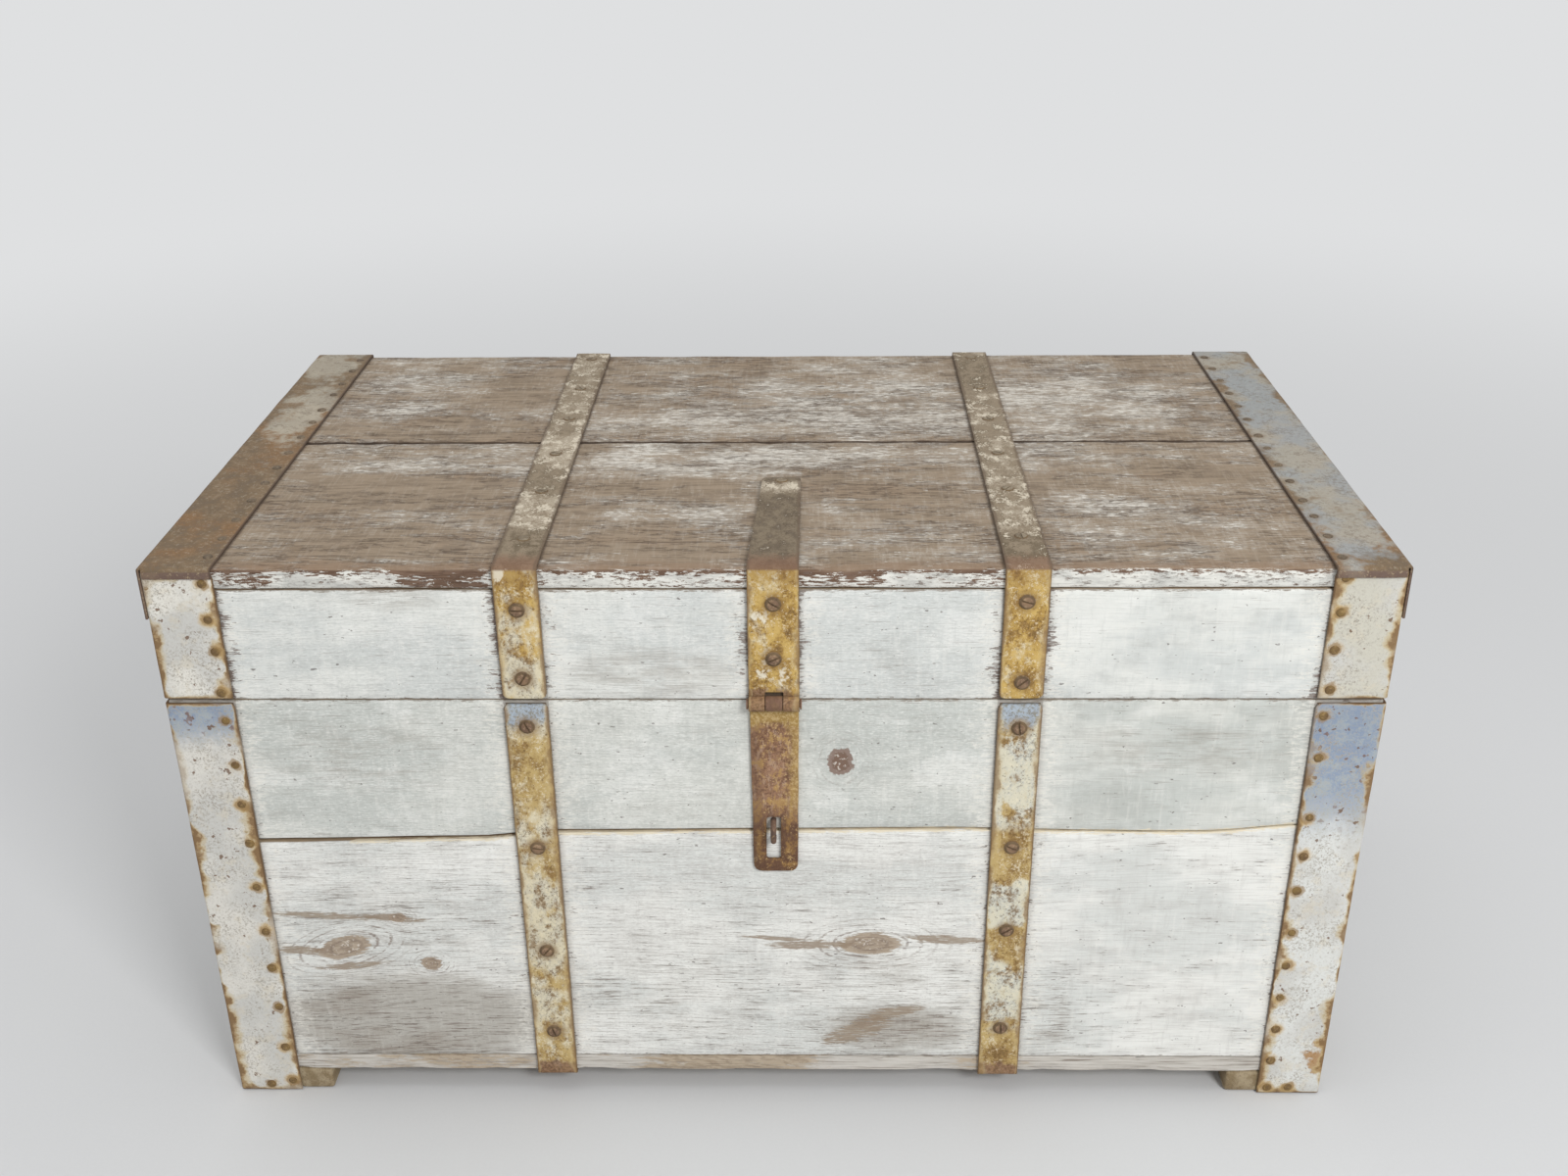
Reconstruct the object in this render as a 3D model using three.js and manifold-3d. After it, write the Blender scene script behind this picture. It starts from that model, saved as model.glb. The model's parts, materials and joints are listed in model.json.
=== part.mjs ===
// A storage trunk of pine boards bound with iron. A boarded body stands on two runners, and a shallow
// boxed lid closes it. Folded iron angles cover every corner, and two straps go round the body and over
// the lid, where they end in the rolled knuckles of the back hinges. A slotted hasp hangs over a staple
// on the front, and each end has a drop handle.
// Millimetres, +Z up, front towards -Y, and the origin on the floor under the middle of the whole.
import * as THREE from "three";
import { mergeVertices } from "three/addons/utils/BufferGeometryUtils.js";
import Module from "manifold-3d";

const wasm = await Module();
wasm.setup();

// Boards
const trunkWidth = 995;
const trunkDepth = 536;
const wallThickness = 20;
const boardEasing = 1.5;
const runnerWidth = 85;
const runnerHeight = 24;
const bottomThickness = 17;
const bottomBoardCount = 3;
const bottomBoardGap = 1.2;
const lowerBoardHeight = 248;
const upperBoardHeight = 125;
const seamGapLeft = 4.4;
const seamGapRight = 1;
const seamRise = 12;
const lidGap = 0.8;
const railHeight = 99.5;
const topThickness = 18.5;
const topSeamGap = 1.4;
const topFrontShare = 0.52;

// Clearances
const fit = 0.3;
const cutOverrun = 4;
const floorClearance = 1;

// Folded iron angles on the corners and along the lid's ends
const ironThickness = 2;
const ironFoldRadius = 0.8;
const ironFace = 55;
const ironReturn = 45;
const ironEndGap = 2;
const ironCorner = 5;
const topIronDrop = 45;
const lipHeight = 8;

// Straps and their rolled knuckles
const strapThickness = 3;
const strapFoldRadius = 0.8;
const strapWidth = 36;
const strapSpacing = 405;
const strapEndGap = 2.5;
const strapCorner = 5;
const strapTongueWidth = 13;
const pinRadius = 3;
const pinClearance = 0.4;
const pinHeadRadius = 4.6;
const pinHeadThickness = 1.6;
const rollSweep = THREE.MathUtils.degToRad(290);
const knuckleGap = 0.6;
const knuckleRelief = 2.2;

// Hasp and staple
const haspOffset = 1.4;
const haspStrapWidth = 41.5;
const haspStrapTipWidth = 34;
const haspStrapSkew = 4.5;
const haspTopRun = 182;
const haspWidth = 40.2;
const haspFootWidth = 37.8;
const haspTongueWidth = 14;
const haspLength = 168;
const haspCorner = 8;
const slotOffset = -1.7;
const slotWidth = 12;
const slotHeight = 43;
const slotFromEnd = 12.5;
const slotCorner = 2.5;
const stapleRadius = 2.5;
const stapleSpacing = 17;
const stapleReach = 16;
const stapleDepth = 16;
const stapleClearance = 2;

// Drop handles
const handleHeight = 335;
const handleSpan = 130;
const bailRadius = 4.5;
const bailShoulder = 1;
const bailDrop = 44;
const bailBend = 11;
const bossRadius = 8.5;
const bossLength = 14;
const bossClearance = 0.4;
const plateWidth = 30;
const plateHeight = 54;
const plateThickness = 3;
const plateCorner = 7;
const pivotStandoff = 6;

// Slotted wood screws
const screwHeadRadius = 6.6;
const screwHeadHeight = 2.4;
const screwShankRadius = 2.4;
const screwLength = 15;
const screwPointShare = 0.35;
const screwRimShare = 0.34;
const screwDomeRadiusShare = 0.7;
const screwDomeHeightShare = 0.84;
const screwSlotWidth = 1.5;
const screwSlotDepth = 1.3;

// Roundness of bends, corners, rods and bores
const arcStep = THREE.MathUtils.degToRad(23);
const cornerSegments = 4;
const rodSides = 12;
const pinSides = 16;
const screwSides = 16;
const boreSides = 12;
const quarterTurn = Math.PI / 2;

// Places of the screws along each strap's front leg, as shares of the leg from the top down
const lidScrewShares = { left: [0.31, 0.84], right: [0.25, 0.87] };
const bodyScrewShares = { left: [0.052, 0.36, 0.64, 0.872], right: [0.056, 0.357, 0.58, 0.859] };
const haspScrewShares = [0.26, 0.67];

// Levels and faces that follow from those sizes
const frontY = -trunkDepth / 2;
const backY = trunkDepth / 2;
const sideX = trunkWidth / 2;
const bottomZ = runnerHeight + fit;
const wallZ = bottomZ + bottomThickness + fit;
const seamGap = (seamGapLeft + seamGapRight) / 2;
const bodyTopZ = wallZ + lowerBoardHeight + seamGap + upperBoardHeight;
const railZ = bodyTopZ + lidGap;
const topZ = railZ + railHeight + fit;
const lidTopZ = topZ + topThickness;

// The middle lines of the straps, and the circles that their ends roll round
const strapY = backY + fit + strapThickness / 2;
const strapFaceY = strapY + strapThickness / 2;
const strapTopZ = lidTopZ + fit + strapThickness / 2;
const strapBottomZ = bottomZ - fit - strapThickness / 2;
const strapFold = strapFoldRadius + strapThickness / 2;
const rollMiddle = pinRadius + pinClearance + strapThickness / 2;
const rollOutside = rollMiddle + strapThickness / 2;
const hingeY = strapY + rollMiddle;
const hingeZ = bodyTopZ + lidGap / 2;
const lidStrapEndZ = railZ + strapEndGap;
const bodyStrapEndZ = bodyTopZ - strapEndGap;
const strapCentres = { left: -strapSpacing / 2, right: strapSpacing / 2 };
const sides = { left: -1, right: 1 };

// Materials
const finish = (color, roughness, metalness) =>
  new THREE.MeshStandardMaterial({ color, roughness, metalness });
const whitePine = finish(0xd3d6d2, 0.85, 0);
const wornPine = finish(0x94877b, 0.88, 0);
const barePine = finish(0xa58f76, 0.9, 0);
const cornerIron = finish(0xb9b4aa, 0.75, 0.3);
const topIron = finish(0x7c6a5a, 0.75, 0.4);
const strapIron = finish(0xa28c5c, 0.72, 0.4);
const rustIron = finish(0x6b5142, 0.8, 0.5);

// Solids. The kernel takes a closed mesh, joins and cuts it, and gives its triangles back.
function solidOf(geometry) {
  const bare = geometry.clone();
  bare.deleteAttribute("normal");
  bare.deleteAttribute("uv");
  const merged = mergeVertices(bare);
  const vertProperties = merged.attributes.position.array;
  const triVerts = new Uint32Array(merged.index.array);
  return new wasm.Manifold(new wasm.Mesh({ numProp: 3, vertProperties, triVerts }));
}

function geometryOf(solid) {
  const { numProp, vertProperties, triVerts } = solid.getMesh();
  const corners = new Float32Array(triVerts.length * 3);
  triVerts.forEach((vertex, i) => {
    const first = vertex * numProp;
    corners.set(vertProperties.subarray(first, first + 3), i * 3);
  });
  const geometry = new THREE.BufferGeometry();
  geometry.setAttribute("position", new THREE.BufferAttribute(corners, 3));
  geometry.computeVertexNormals();
  return geometry;
}

const without = (solid, cutters) => cutters.reduce((left, cutter) => left.subtract(cutter), solid);

function blockBetween(low, high) {
  const size = new THREE.Vector3().subVectors(high, low);
  const middle = new THREE.Vector3().addVectors(low, high).multiplyScalar(0.5);
  return solidOf(new THREE.BoxGeometry(size.x, size.y, size.z).translate(middle.x, middle.y, middle.z));
}

// Outlines are drawn flat and then turned. A section holds depth and height and runs across the
// trunk, an elevation holds its width and height as seen from behind and runs towards the back.
const axisX = new THREE.Vector3(1, 0, 0);
const axisY = new THREE.Vector3(0, 1, 0);
const axisZ = new THREE.Vector3(0, 0, 1);
const acrossBasis = new THREE.Matrix4().makeBasis(axisY, axisZ, axisX);
const inwardBasis = new THREE.Matrix4().makeBasis(axisX.clone().negate(), axisZ, axisY);
const extruded = (shape, depth) =>
  new THREE.ExtrudeGeometry(shape, { depth, bevelEnabled: false, curveSegments: cornerSegments });
const across = (shape, x, width) =>
  solidOf(extruded(shape, width).applyMatrix4(acrossBasis).translate(x, 0, 0));
const inward = (shape, y, depth) =>
  solidOf(extruded(shape, depth).applyMatrix4(inwardBasis).translate(0, y, 0));
const upward = (shape, z, height) => solidOf(extruded(shape, height).translate(0, 0, z));

// A strip of one thickness along straight runs and bends, as sheet is folded. A turn is positive to
// the left, and its radius is that of the strip's middle line.
function foldedStrip(start, heading, thickness, steps) {
  const leftSide = [];
  const rightSide = [];
  const at = start.clone();
  let angle = heading;
  const leftward = () => new THREE.Vector2(-Math.sin(angle), Math.cos(angle));
  const mark = () => {
    const offset = leftward().multiplyScalar(thickness / 2);
    leftSide.push(at.clone().add(offset));
    rightSide.push(at.clone().sub(offset));
  };
  mark();
  for (const { run, turn, radius } of steps) {
    if (run !== undefined) {
      at.addScaledVector(new THREE.Vector2(Math.cos(angle), Math.sin(angle)), run);
      mark();
      continue;
    }
    const count = Math.ceil(Math.abs(turn) / arcStep);
    const reach = Math.sign(turn) * radius;
    const centre = at.clone().addScaledVector(leftward(), reach);
    for (let i = 0; i < count; i += 1) {
      angle += turn / count;
      at.copy(centre).addScaledVector(leftward(), -reach);
      mark();
    }
  }
  return new THREE.Shape([...leftSide, ...rightSide.reverse()]);
}

const polygon = (points) => new THREE.Shape(points.map(([x, y]) => new THREE.Vector2(x, y)));

function rectangle(width, height, x, y) {
  const left = x - width / 2;
  const foot = y - height / 2;
  return polygon([[left, foot], [left + width, foot], [left + width, foot + height], [left, foot + height]]);
}

function roundedRectangle(width, height, x, y, radius) {
  const left = x - width / 2;
  const right = x + width / 2;
  const foot = y - height / 2;
  const head = y + height / 2;
  const shape = new THREE.Shape();
  shape.moveTo(left + radius, foot);
  shape.lineTo(right - radius, foot);
  shape.quadraticCurveTo(right, foot, right, foot + radius);
  shape.lineTo(right, head - radius);
  shape.quadraticCurveTo(right, head, right - radius, head);
  shape.lineTo(left + radius, head);
  shape.quadraticCurveTo(left, head, left, head - radius);
  shape.lineTo(left, foot + radius);
  shape.quadraticCurveTo(left, foot, left + radius, foot);
  return shape;
}

// What a rounded corner of a front flange loses. The corner points towards (toX, toZ).
function cornerWaste(x, z, toX, toZ, radius) {
  const waste = [];
  for (let i = 0; i <= cornerSegments; i += 1) {
    const angle = (i / cornerSegments) * quarterTurn;
    const awayX = radius * (1 - Math.cos(angle));
    const awayZ = radius * (1 - Math.sin(angle));
    waste.push([toX * awayX - x, z - toZ * awayZ]);
  }
  const farX = -x - toX * cutOverrun;
  const farZ = z + toZ * cutOverrun;
  waste.push([toX * radius - x, farZ], [farX, farZ], [farX, z - toZ * radius]);
  return inward(polygon(waste), -strapFaceY - cutOverrun, strapThickness + ironThickness + cutOverrun);
}

// A board with the edges of both faces eased, its thickness along +Z from zero
const easedBoard = (outline, thickness) =>
  new THREE.ExtrudeGeometry(outline, {
    depth: thickness - 2 * boardEasing,
    bevelThickness: boardEasing,
    bevelSize: boardEasing,
    bevelOffset: -boardEasing,
    bevelSegments: 2,
  }).translate(0, 0, boardEasing);

// A round bar along straight runs with rounded bends, stepped only where it turns
class BentRod extends THREE.Curve {
  constructor(corners, bendRadius) {
    super();
    const last = corners.length - 1;
    const towards = (from, to) => to.clone().sub(from).normalize();
    this.knots = [{ point: corners[0], tangent: towards(corners[0], corners[1]) }];
    for (let i = 1; i < last; i += 1) this.addBend(corners[i - 1], corners[i], corners[i + 1], bendRadius);
    this.knots.push({ point: corners[last], tangent: towards(corners[last - 1], corners[last]) });
  }

  addBend(before, corner, after, radius) {
    const into = corner.clone().sub(before).normalize();
    const out = after.clone().sub(corner).normalize();
    const angle = into.angleTo(out);
    const start = corner.clone().addScaledVector(into, -radius * Math.tan(angle / 2));
    const sideways = out.clone().addScaledVector(into, -into.dot(out)).normalize();
    const count = Math.ceil(angle / arcStep);
    for (let i = 0; i <= count; i += 1) {
      const turned = (angle * i) / count;
      const point = start.clone().addScaledVector(into, radius * Math.sin(turned));
      point.addScaledVector(sideways, radius * (1 - Math.cos(turned)));
      const tangent = into.clone().multiplyScalar(Math.cos(turned));
      tangent.addScaledVector(sideways, Math.sin(turned));
      this.knots.push({ point, tangent });
    }
  }

  knotAt(share) {
    return this.knots[Math.round(share * (this.knots.length - 1))];
  }

  getPointAt(share) {
    return this.knotAt(share).point.clone();
  }

  getTangentAt(share) {
    return this.knotAt(share).tangent.clone();
  }
}

function bentRod(corners, radius, bendRadius) {
  const extrudePath = new BentRod(corners, bendRadius);
  const section = Array.from({ length: rodSides }, (_, i) => {
    const angle = ((i + 0.5) * 2 * Math.PI) / rodSides;
    return [radius * Math.cos(angle), radius * Math.sin(angle)];
  });
  const steps = extrudePath.knots.length - 1;
  return new THREE.ExtrudeGeometry(polygon(section), { steps, extrudePath, bevelEnabled: false });
}

// A straight bar between two points
function bar(from, to, radius, sideCount) {
  const along = to.clone().sub(from);
  const turn = new THREE.Quaternion().setFromUnitVectors(axisY, along.clone().normalize());
  const middle = from.clone().add(to).multiplyScalar(0.5);
  const cylinder = new THREE.CylinderGeometry(radius, radius, along.length(), sideCount);
  return solidOf(cylinder.applyQuaternion(turn).translate(middle.x, middle.y, middle.z));
}

// The trunk and its moving parts, each a group that turns about its own pivot
const trunk = new THREE.Group();
const body = new THREE.Group();
trunk.add(body);

function addGroup(parent, x, y, z) {
  const group = new THREE.Group();
  group.position.set(x, y, z);
  trunk.add(group);
  parent.attach(group);
  return group;
}
const lid = addGroup(trunk, 0, hingeY, hingeZ);
const hasp = addGroup(lid, haspOffset, -hingeY, hingeZ);

// Every piece is made where it lies in the trunk and then joins its group.
function addPiece(group, name, form, material) {
  const mesh = new THREE.Mesh(form.isBufferGeometry ? form : geometryOf(form), material);
  mesh.name = name;
  trunk.add(mesh);
  group.attach(mesh);
  return mesh;
}

// Screws of the straps' front legs, each driven in from the strap's face
const planned = [];
function planScrews(group, name, x, topOfLeg, footOfLeg, shares) {
  shares.forEach((share, i) => {
    const place = new THREE.Vector3(x, -strapFaceY, topOfLeg + (footOfLeg - topOfLeg) * share);
    planned.push({ group, name: `${name}_screw_${i + 1}`, place });
  });
}
for (const [side, x] of Object.entries(strapCentres)) {
  planScrews(lid, `${side}_lid_strap`, x, strapTopZ, lidStrapEndZ, lidScrewShares[side]);
  planScrews(body, `${side}_body_strap`, x, bodyStrapEndZ, strapBottomZ, bodyScrewShares[side]);
}
planScrews(lid, "hasp_strap", haspOffset, strapTopZ, hingeZ, haspScrewShares);

function screwBores(group) {
  return planned.filter((screw) => screw.group === group).map(({ place }) => {
    const mouth = place.clone().addScaledVector(axisY, -cutOverrun);
    const end = place.clone().addScaledVector(axisY, screwLength + fit);
    return bar(mouth, end, screwShankRadius + fit, boreSides);
  });
}
const lidBores = screwBores(lid);
const bodyBores = screwBores(body);

function slottedScrew() {
  const profile = [
    [0, -screwLength],
    [screwShankRadius, screwLength * (screwPointShare - 1)],
    [screwShankRadius, fit],
    [screwHeadRadius, fit],
    [screwHeadRadius, screwHeadHeight * screwRimShare],
    [screwHeadRadius * screwDomeRadiusShare, screwHeadHeight * screwDomeHeightShare],
    [0, screwHeadHeight],
  ].map(([radius, height]) => new THREE.Vector2(radius, height));
  const turned = new THREE.LatheGeometry(profile, screwSides).rotateX(quarterTurn);
  const reach = new THREE.Vector3(screwHeadRadius + cutOverrun, screwSlotWidth / 2, screwSlotDepth);
  const crown = new THREE.Vector3(0, 0, screwHeadHeight);
  return solidOf(turned).subtract(blockBetween(crown.clone().sub(reach), crown.clone().add(reach)));
}

function addScrews() {
  const form = geometryOf(slottedScrew());
  const outward = new THREE.Quaternion().setFromUnitVectors(axisZ, axisY.clone().negate());
  planned.forEach(({ group, name, place }, i) => {
    const mesh = addPiece(trunk, name, form, rustIron);
    mesh.position.copy(place);
    mesh.quaternion.copy(outward);
    mesh.rotateZ(i);
    group.attach(mesh);
  });
}

// Staple: a rod bent to a narrow loop, driven through the front boards, that the hasp's slot goes over
const slotTopZ = hingeZ - haspLength + slotFromEnd + slotHeight;
const stapleX = haspOffset + slotOffset;
const stapleTopZ = slotTopZ - stapleClearance - stapleRadius;
const stapleFootZ = stapleTopZ - stapleSpacing;

function addStaple() {
  const outY = frontY - stapleReach + stapleRadius;
  const endY = frontY + stapleDepth;
  const path = [[endY, stapleTopZ], [outY, stapleTopZ], [outY, stapleFootZ], [endY, stapleFootZ]];
  const corners = path.map(([y, z]) => new THREE.Vector3(stapleX, y, z));
  addPiece(body, "staple", bentRod(corners, stapleRadius, stapleSpacing / 2 - fit), rustIron);
}

const stapleBores = [stapleTopZ, stapleFootZ].map((z) => {
  const mouth = new THREE.Vector3(stapleX, frontY - cutOverrun, z);
  const end = new THREE.Vector3(stapleX, frontY + stapleDepth + fit, z);
  return bar(mouth, end, stapleRadius + fit, boreSides);
});

// Boards of the walls. Front and back run the whole width, and the ends stand between them.
const endDepth = trunkDepth - 2 * (wallThickness + fit);
const innerFaceX = { left: -sideX, right: sideX - wallThickness };
const facingBoard = (outline, y) =>
  easedBoard(outline, wallThickness).applyMatrix4(inwardBasis).translate(0, y, 0);
const backBoard = (z, height) =>
  facingBoard(rectangle(trunkWidth, height, 0, z + height / 2), backY - wallThickness);
const endBoard = (side, z, height) => {
  const board = easedBoard(rectangle(endDepth, height, 0, z + height / 2), wallThickness);
  return board.applyMatrix4(acrossBasis).translate(innerFaceX[side], 0, 0);
};

function addBodyWalls() {
  const leftSeamZ = wallZ + lowerBoardHeight - seamRise / 2;
  const rightSeamZ = leftSeamZ + seamRise;
  const addFront = (course, leftZ, rightZ, edgeZ) => {
    const outline = polygon([[sideX, edgeZ], [sideX, leftZ], [-sideX, rightZ], [-sideX, edgeZ]]);
    const board = solidOf(facingBoard(outline, frontY));
    addPiece(body, `body_front_${course}_board`, without(board, [...bodyBores, ...stapleBores]), whitePine);
  };
  addFront("lower", leftSeamZ, rightSeamZ, wallZ);
  addFront("upper", leftSeamZ + seamGapLeft, rightSeamZ + seamGapRight, bodyTopZ);
  const addCourse = (course, z, height) => {
    addPiece(body, `body_back_${course}_board`, backBoard(z, height), whitePine);
    for (const side of Object.keys(sides))
      addPiece(body, `body_${side}_${course}_board`, endBoard(side, z, height), whitePine);
  };
  addCourse("lower", wallZ, lowerBoardHeight);
  addCourse("upper", bodyTopZ - upperBoardHeight, upperBoardHeight);
}

// Bottom boards run the length of the trunk, and a runner lies across them under each end.
function addBottom() {
  const depth = (trunkDepth - (bottomBoardCount - 1) * bottomBoardGap) / bottomBoardCount;
  for (let i = 0; i < bottomBoardCount; i += 1) {
    const y = frontY + depth / 2 + i * (depth + bottomBoardGap);
    const board = easedBoard(rectangle(trunkWidth, depth, 0, y), bottomThickness).translate(0, 0, bottomZ);
    addPiece(body, `bottom_board_${i + 1}`, board, barePine);
  }
  for (const [side, sign] of Object.entries(sides)) {
    const outline = rectangle(runnerWidth, trunkDepth, sign * (sideX - runnerWidth / 2), 0);
    addPiece(body, `${side}_runner`, easedBoard(outline, runnerHeight), barePine);
  }
}

function addLidBoards() {
  const front = facingBoard(rectangle(trunkWidth, railHeight, 0, railZ + railHeight / 2), frontY);
  addPiece(lid, "lid_front_rail", without(solidOf(front), lidBores), whitePine);
  addPiece(lid, "lid_back_rail", backBoard(railZ, railHeight), whitePine);
  for (const side of Object.keys(sides))
    addPiece(lid, `lid_${side}_rail`, endBoard(side, railZ, railHeight), whitePine);
  const frontDepth = (trunkDepth - topSeamGap) * topFrontShare;
  const backDepth = trunkDepth - topSeamGap - frontDepth;
  const addTop = (part, depth, y) => {
    const board = easedBoard(rectangle(trunkWidth, depth, 0, y), topThickness).translate(0, 0, topZ);
    addPiece(lid, `lid_top_${part}_board`, board, wornPine);
  };
  addTop("front", frontDepth, frontY + frontDepth / 2);
  addTop("back", backDepth, backY - backDepth / 2);
}

// Corner irons: one folded sheet on each upright corner of the body and of the lid
const ironFold = ironFoldRadius + ironThickness / 2;
const ironX = sideX + fit + ironThickness / 2;
const ironY = backY + fit + ironThickness / 2;

function cornerIronSolid(z, height) {
  const start = new THREE.Vector2(ironFace - sideX, -ironY);
  const plan = foldedStrip(start, 2 * quarterTurn, ironThickness, [
    { run: start.x + ironX - ironFold },
    { turn: -quarterTurn, radius: ironFold },
    { run: ironReturn - ironFold },
  ]);
  return upward(plan, z, height).subtract(cornerWaste(start.x, z + height, 1, 1, ironCorner));
}

function addCornerIrons() {
  const bodyIron = cornerIronSolid(floorClearance, bodyTopZ - ironEndGap - floorClearance);
  const lidIron = cornerIronSolid(railZ + ironEndGap, railHeight + topThickness - 2 * ironEndGap);
  for (const [side, sign] of Object.entries(sides)) {
    for (const end of ["front", "back"]) {
      const placed = (iron) => {
        const onSide = sign > 0 ? iron.mirror([1, 0, 0]) : iron;
        return end === "back" ? onSide.mirror([0, 1, 0]) : onSide;
      };
      addPiece(body, `body_${end}_${side}_iron`, placed(bodyIron), cornerIron);
      addPiece(lid, `lid_${end}_${side}_iron`, placed(lidIron), cornerIron);
    }
  }
}

// The lid's end irons lie along the top and hang down outside the corner irons. Their ends turn down
// as short lips over the corner irons' heads.
function addTopIrons() {
  const overIron = fit + ironThickness;
  const z = lidTopZ + fit + ironThickness / 2;
  const outerX = ironX + overIron;
  const outerY = ironY + overIron;
  const face = new THREE.Vector2(ironFace - sideX, z);
  const angle = foldedStrip(face, 2 * quarterTurn, ironThickness, [
    { run: face.x + outerX - ironFold },
    { turn: quarterTurn, radius: ironFold },
    { run: topIronDrop - ironFold },
  ]);
  const length = 2 * (outerY - ironFold);
  const angleSolid = inward(angle, -length / 2, length).mirror([1, 0, 0]);
  const lips = foldedStrip(new THREE.Vector2(-outerY, z - lipHeight), quarterTurn, ironThickness, [
    { run: lipHeight - ironFold },
    { turn: -quarterTurn, radius: ironFold },
    { run: length },
    { turn: -quarterTurn, radius: ironFold },
    { run: lipHeight - ironFold },
  ]);
  const leftIron = angleSolid.add(across(lips, -sideX, ironFace));
  addPiece(lid, "lid_left_top_iron", leftIron, topIron);
  addPiece(lid, "lid_right_top_iron", leftIron.mirror([1, 0, 0]), topIron);
}

// Knuckles: a strap's end keeps either its middle tongue or the two sides of it, so that the two
// leaves of a hinge interleave. The strap runs up to the pin where rising is true.
function knuckleWaste(x, width, tongueWidth, keepsTongue, pinY, rising) {
  const beyond = rollOutside + cutOverrun;
  const relief = rollOutside + knuckleRelief;
  const lowZ = hingeZ - (rising ? relief : beyond);
  const highZ = hingeZ + (rising ? beyond : relief);
  const cut = (fromX, toX) =>
    blockBetween(new THREE.Vector3(fromX, pinY - beyond, lowZ), new THREE.Vector3(toX, pinY + beyond, highZ));
  const tongue = tongueWidth / 2;
  const outside = width / 2 + cutOverrun;
  if (keepsTongue) return [cut(x - outside, x - tongue), cut(x + tongue, x + outside)];
  return [cut(x - tongue - knuckleGap, x + tongue + knuckleGap)];
}

function addHingePin(group, name, x, width, pinY) {
  const half = width / 2 + fit;
  const head = half + pinHeadThickness;
  const profile = [
    [0, -head], [pinHeadRadius, -head], [pinHeadRadius, -half], [pinRadius, -half],
    [pinRadius, half], [pinHeadRadius, half], [pinHeadRadius, head], [0, head],
  ].map(([radius, along]) => new THREE.Vector2(radius, along));
  const pin = new THREE.LatheGeometry(profile, pinSides).rotateZ(-quarterTurn).translate(x, pinY, hingeZ);
  addPiece(group, name, pin, rustIron);
}

// Straps: the body's go down the front, under the bottom and up the back, and the lid's go up the
// front, over the top and down the back. Both end in the knuckles of a back hinge.
function bodyStrap(x) {
  const bend = { turn: quarterTurn, radius: strapFold };
  const section = foldedStrip(new THREE.Vector2(-strapY, bodyStrapEndZ), -quarterTurn, strapThickness, [
    { run: bodyStrapEndZ - strapBottomZ - strapFold },
    bend,
    { run: 2 * (strapY - strapFold) },
    bend,
    { run: hingeZ - strapBottomZ - strapFold },
    { turn: -rollSweep, radius: rollMiddle },
  ]);
  return without(across(section, x - strapWidth / 2, strapWidth), [
    ...knuckleWaste(x, strapWidth, strapTongueWidth, false, hingeY, true),
    ...[-1, 1].map((toX) => cornerWaste(x + (toX * strapWidth) / 2, bodyStrapEndZ, toX, 1, strapCorner)),
    ...bodyBores,
  ]);
}

function lidStrap(x) {
  const bend = { turn: -quarterTurn, radius: strapFold };
  const section = foldedStrip(new THREE.Vector2(-strapY, lidStrapEndZ), quarterTurn, strapThickness, [
    { run: strapTopZ - lidStrapEndZ - strapFold },
    bend,
    { run: 2 * (strapY - strapFold) },
    bend,
    { run: strapTopZ - hingeZ - strapFold },
    { turn: rollSweep, radius: rollMiddle },
  ]);
  return without(across(section, x - strapWidth / 2, strapWidth), [
    ...knuckleWaste(x, strapWidth, strapTongueWidth, true, hingeY, false),
    ...[-1, 1].map((toX) => cornerWaste(x + (toX * strapWidth) / 2, lidStrapEndZ, toX, -1, strapCorner)),
    ...lidBores,
  ]);
}

function addStraps() {
  for (const [side, x] of Object.entries(strapCentres)) {
    addPiece(body, `${side}_body_strap`, bodyStrap(x), strapIron);
    addPiece(lid, `${side}_lid_strap`, lidStrap(x), strapIron);
    addHingePin(body, `${side}_hinge_pin`, x, strapWidth, hingeY);
  }
}

// The hasp's strap narrows over the lid top and ends there. Its lower end carries the hasp.
function haspStrap() {
  const tipY = frontY + haspTopRun;
  const section = foldedStrip(new THREE.Vector2(tipY, strapTopZ), 2 * quarterTurn, strapThickness, [
    { run: tipY + strapY - strapFold },
    { turn: quarterTurn, radius: strapFold },
    { run: strapTopZ - strapFold - hingeZ },
    { turn: -rollSweep, radius: rollMiddle },
  ]);
  const outerY = -hingeY - rollOutside - cutOverrun;
  const half = haspStrapWidth / 2;
  const tipHalf = haspStrapTipWidth / 2;
  const plan = new THREE.Shape();
  plan.moveTo(-half, outerY);
  plan.lineTo(half, outerY);
  plan.lineTo(half, frontY);
  plan.lineTo(haspStrapSkew + tipHalf, tipY - strapCorner);
  plan.quadraticCurveTo(haspStrapSkew + tipHalf, tipY, haspStrapSkew + tipHalf - strapCorner, tipY);
  plan.lineTo(haspStrapSkew - tipHalf + strapCorner, tipY);
  plan.quadraticCurveTo(haspStrapSkew - tipHalf, tipY, haspStrapSkew - tipHalf, tipY - strapCorner);
  plan.lineTo(-half, frontY);
  const reach = half + haspStrapSkew;
  const outline = upward(plan, bodyTopZ - haspLength, lidTopZ + haspLength);
  const strip = across(section, -reach, 2 * reach).intersect(outline).translate([haspOffset, 0, 0]);
  const waste = knuckleWaste(haspOffset, haspStrapWidth, haspTongueWidth, false, -hingeY, false);
  return without(strip, [...waste, ...lidBores]);
}

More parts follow.
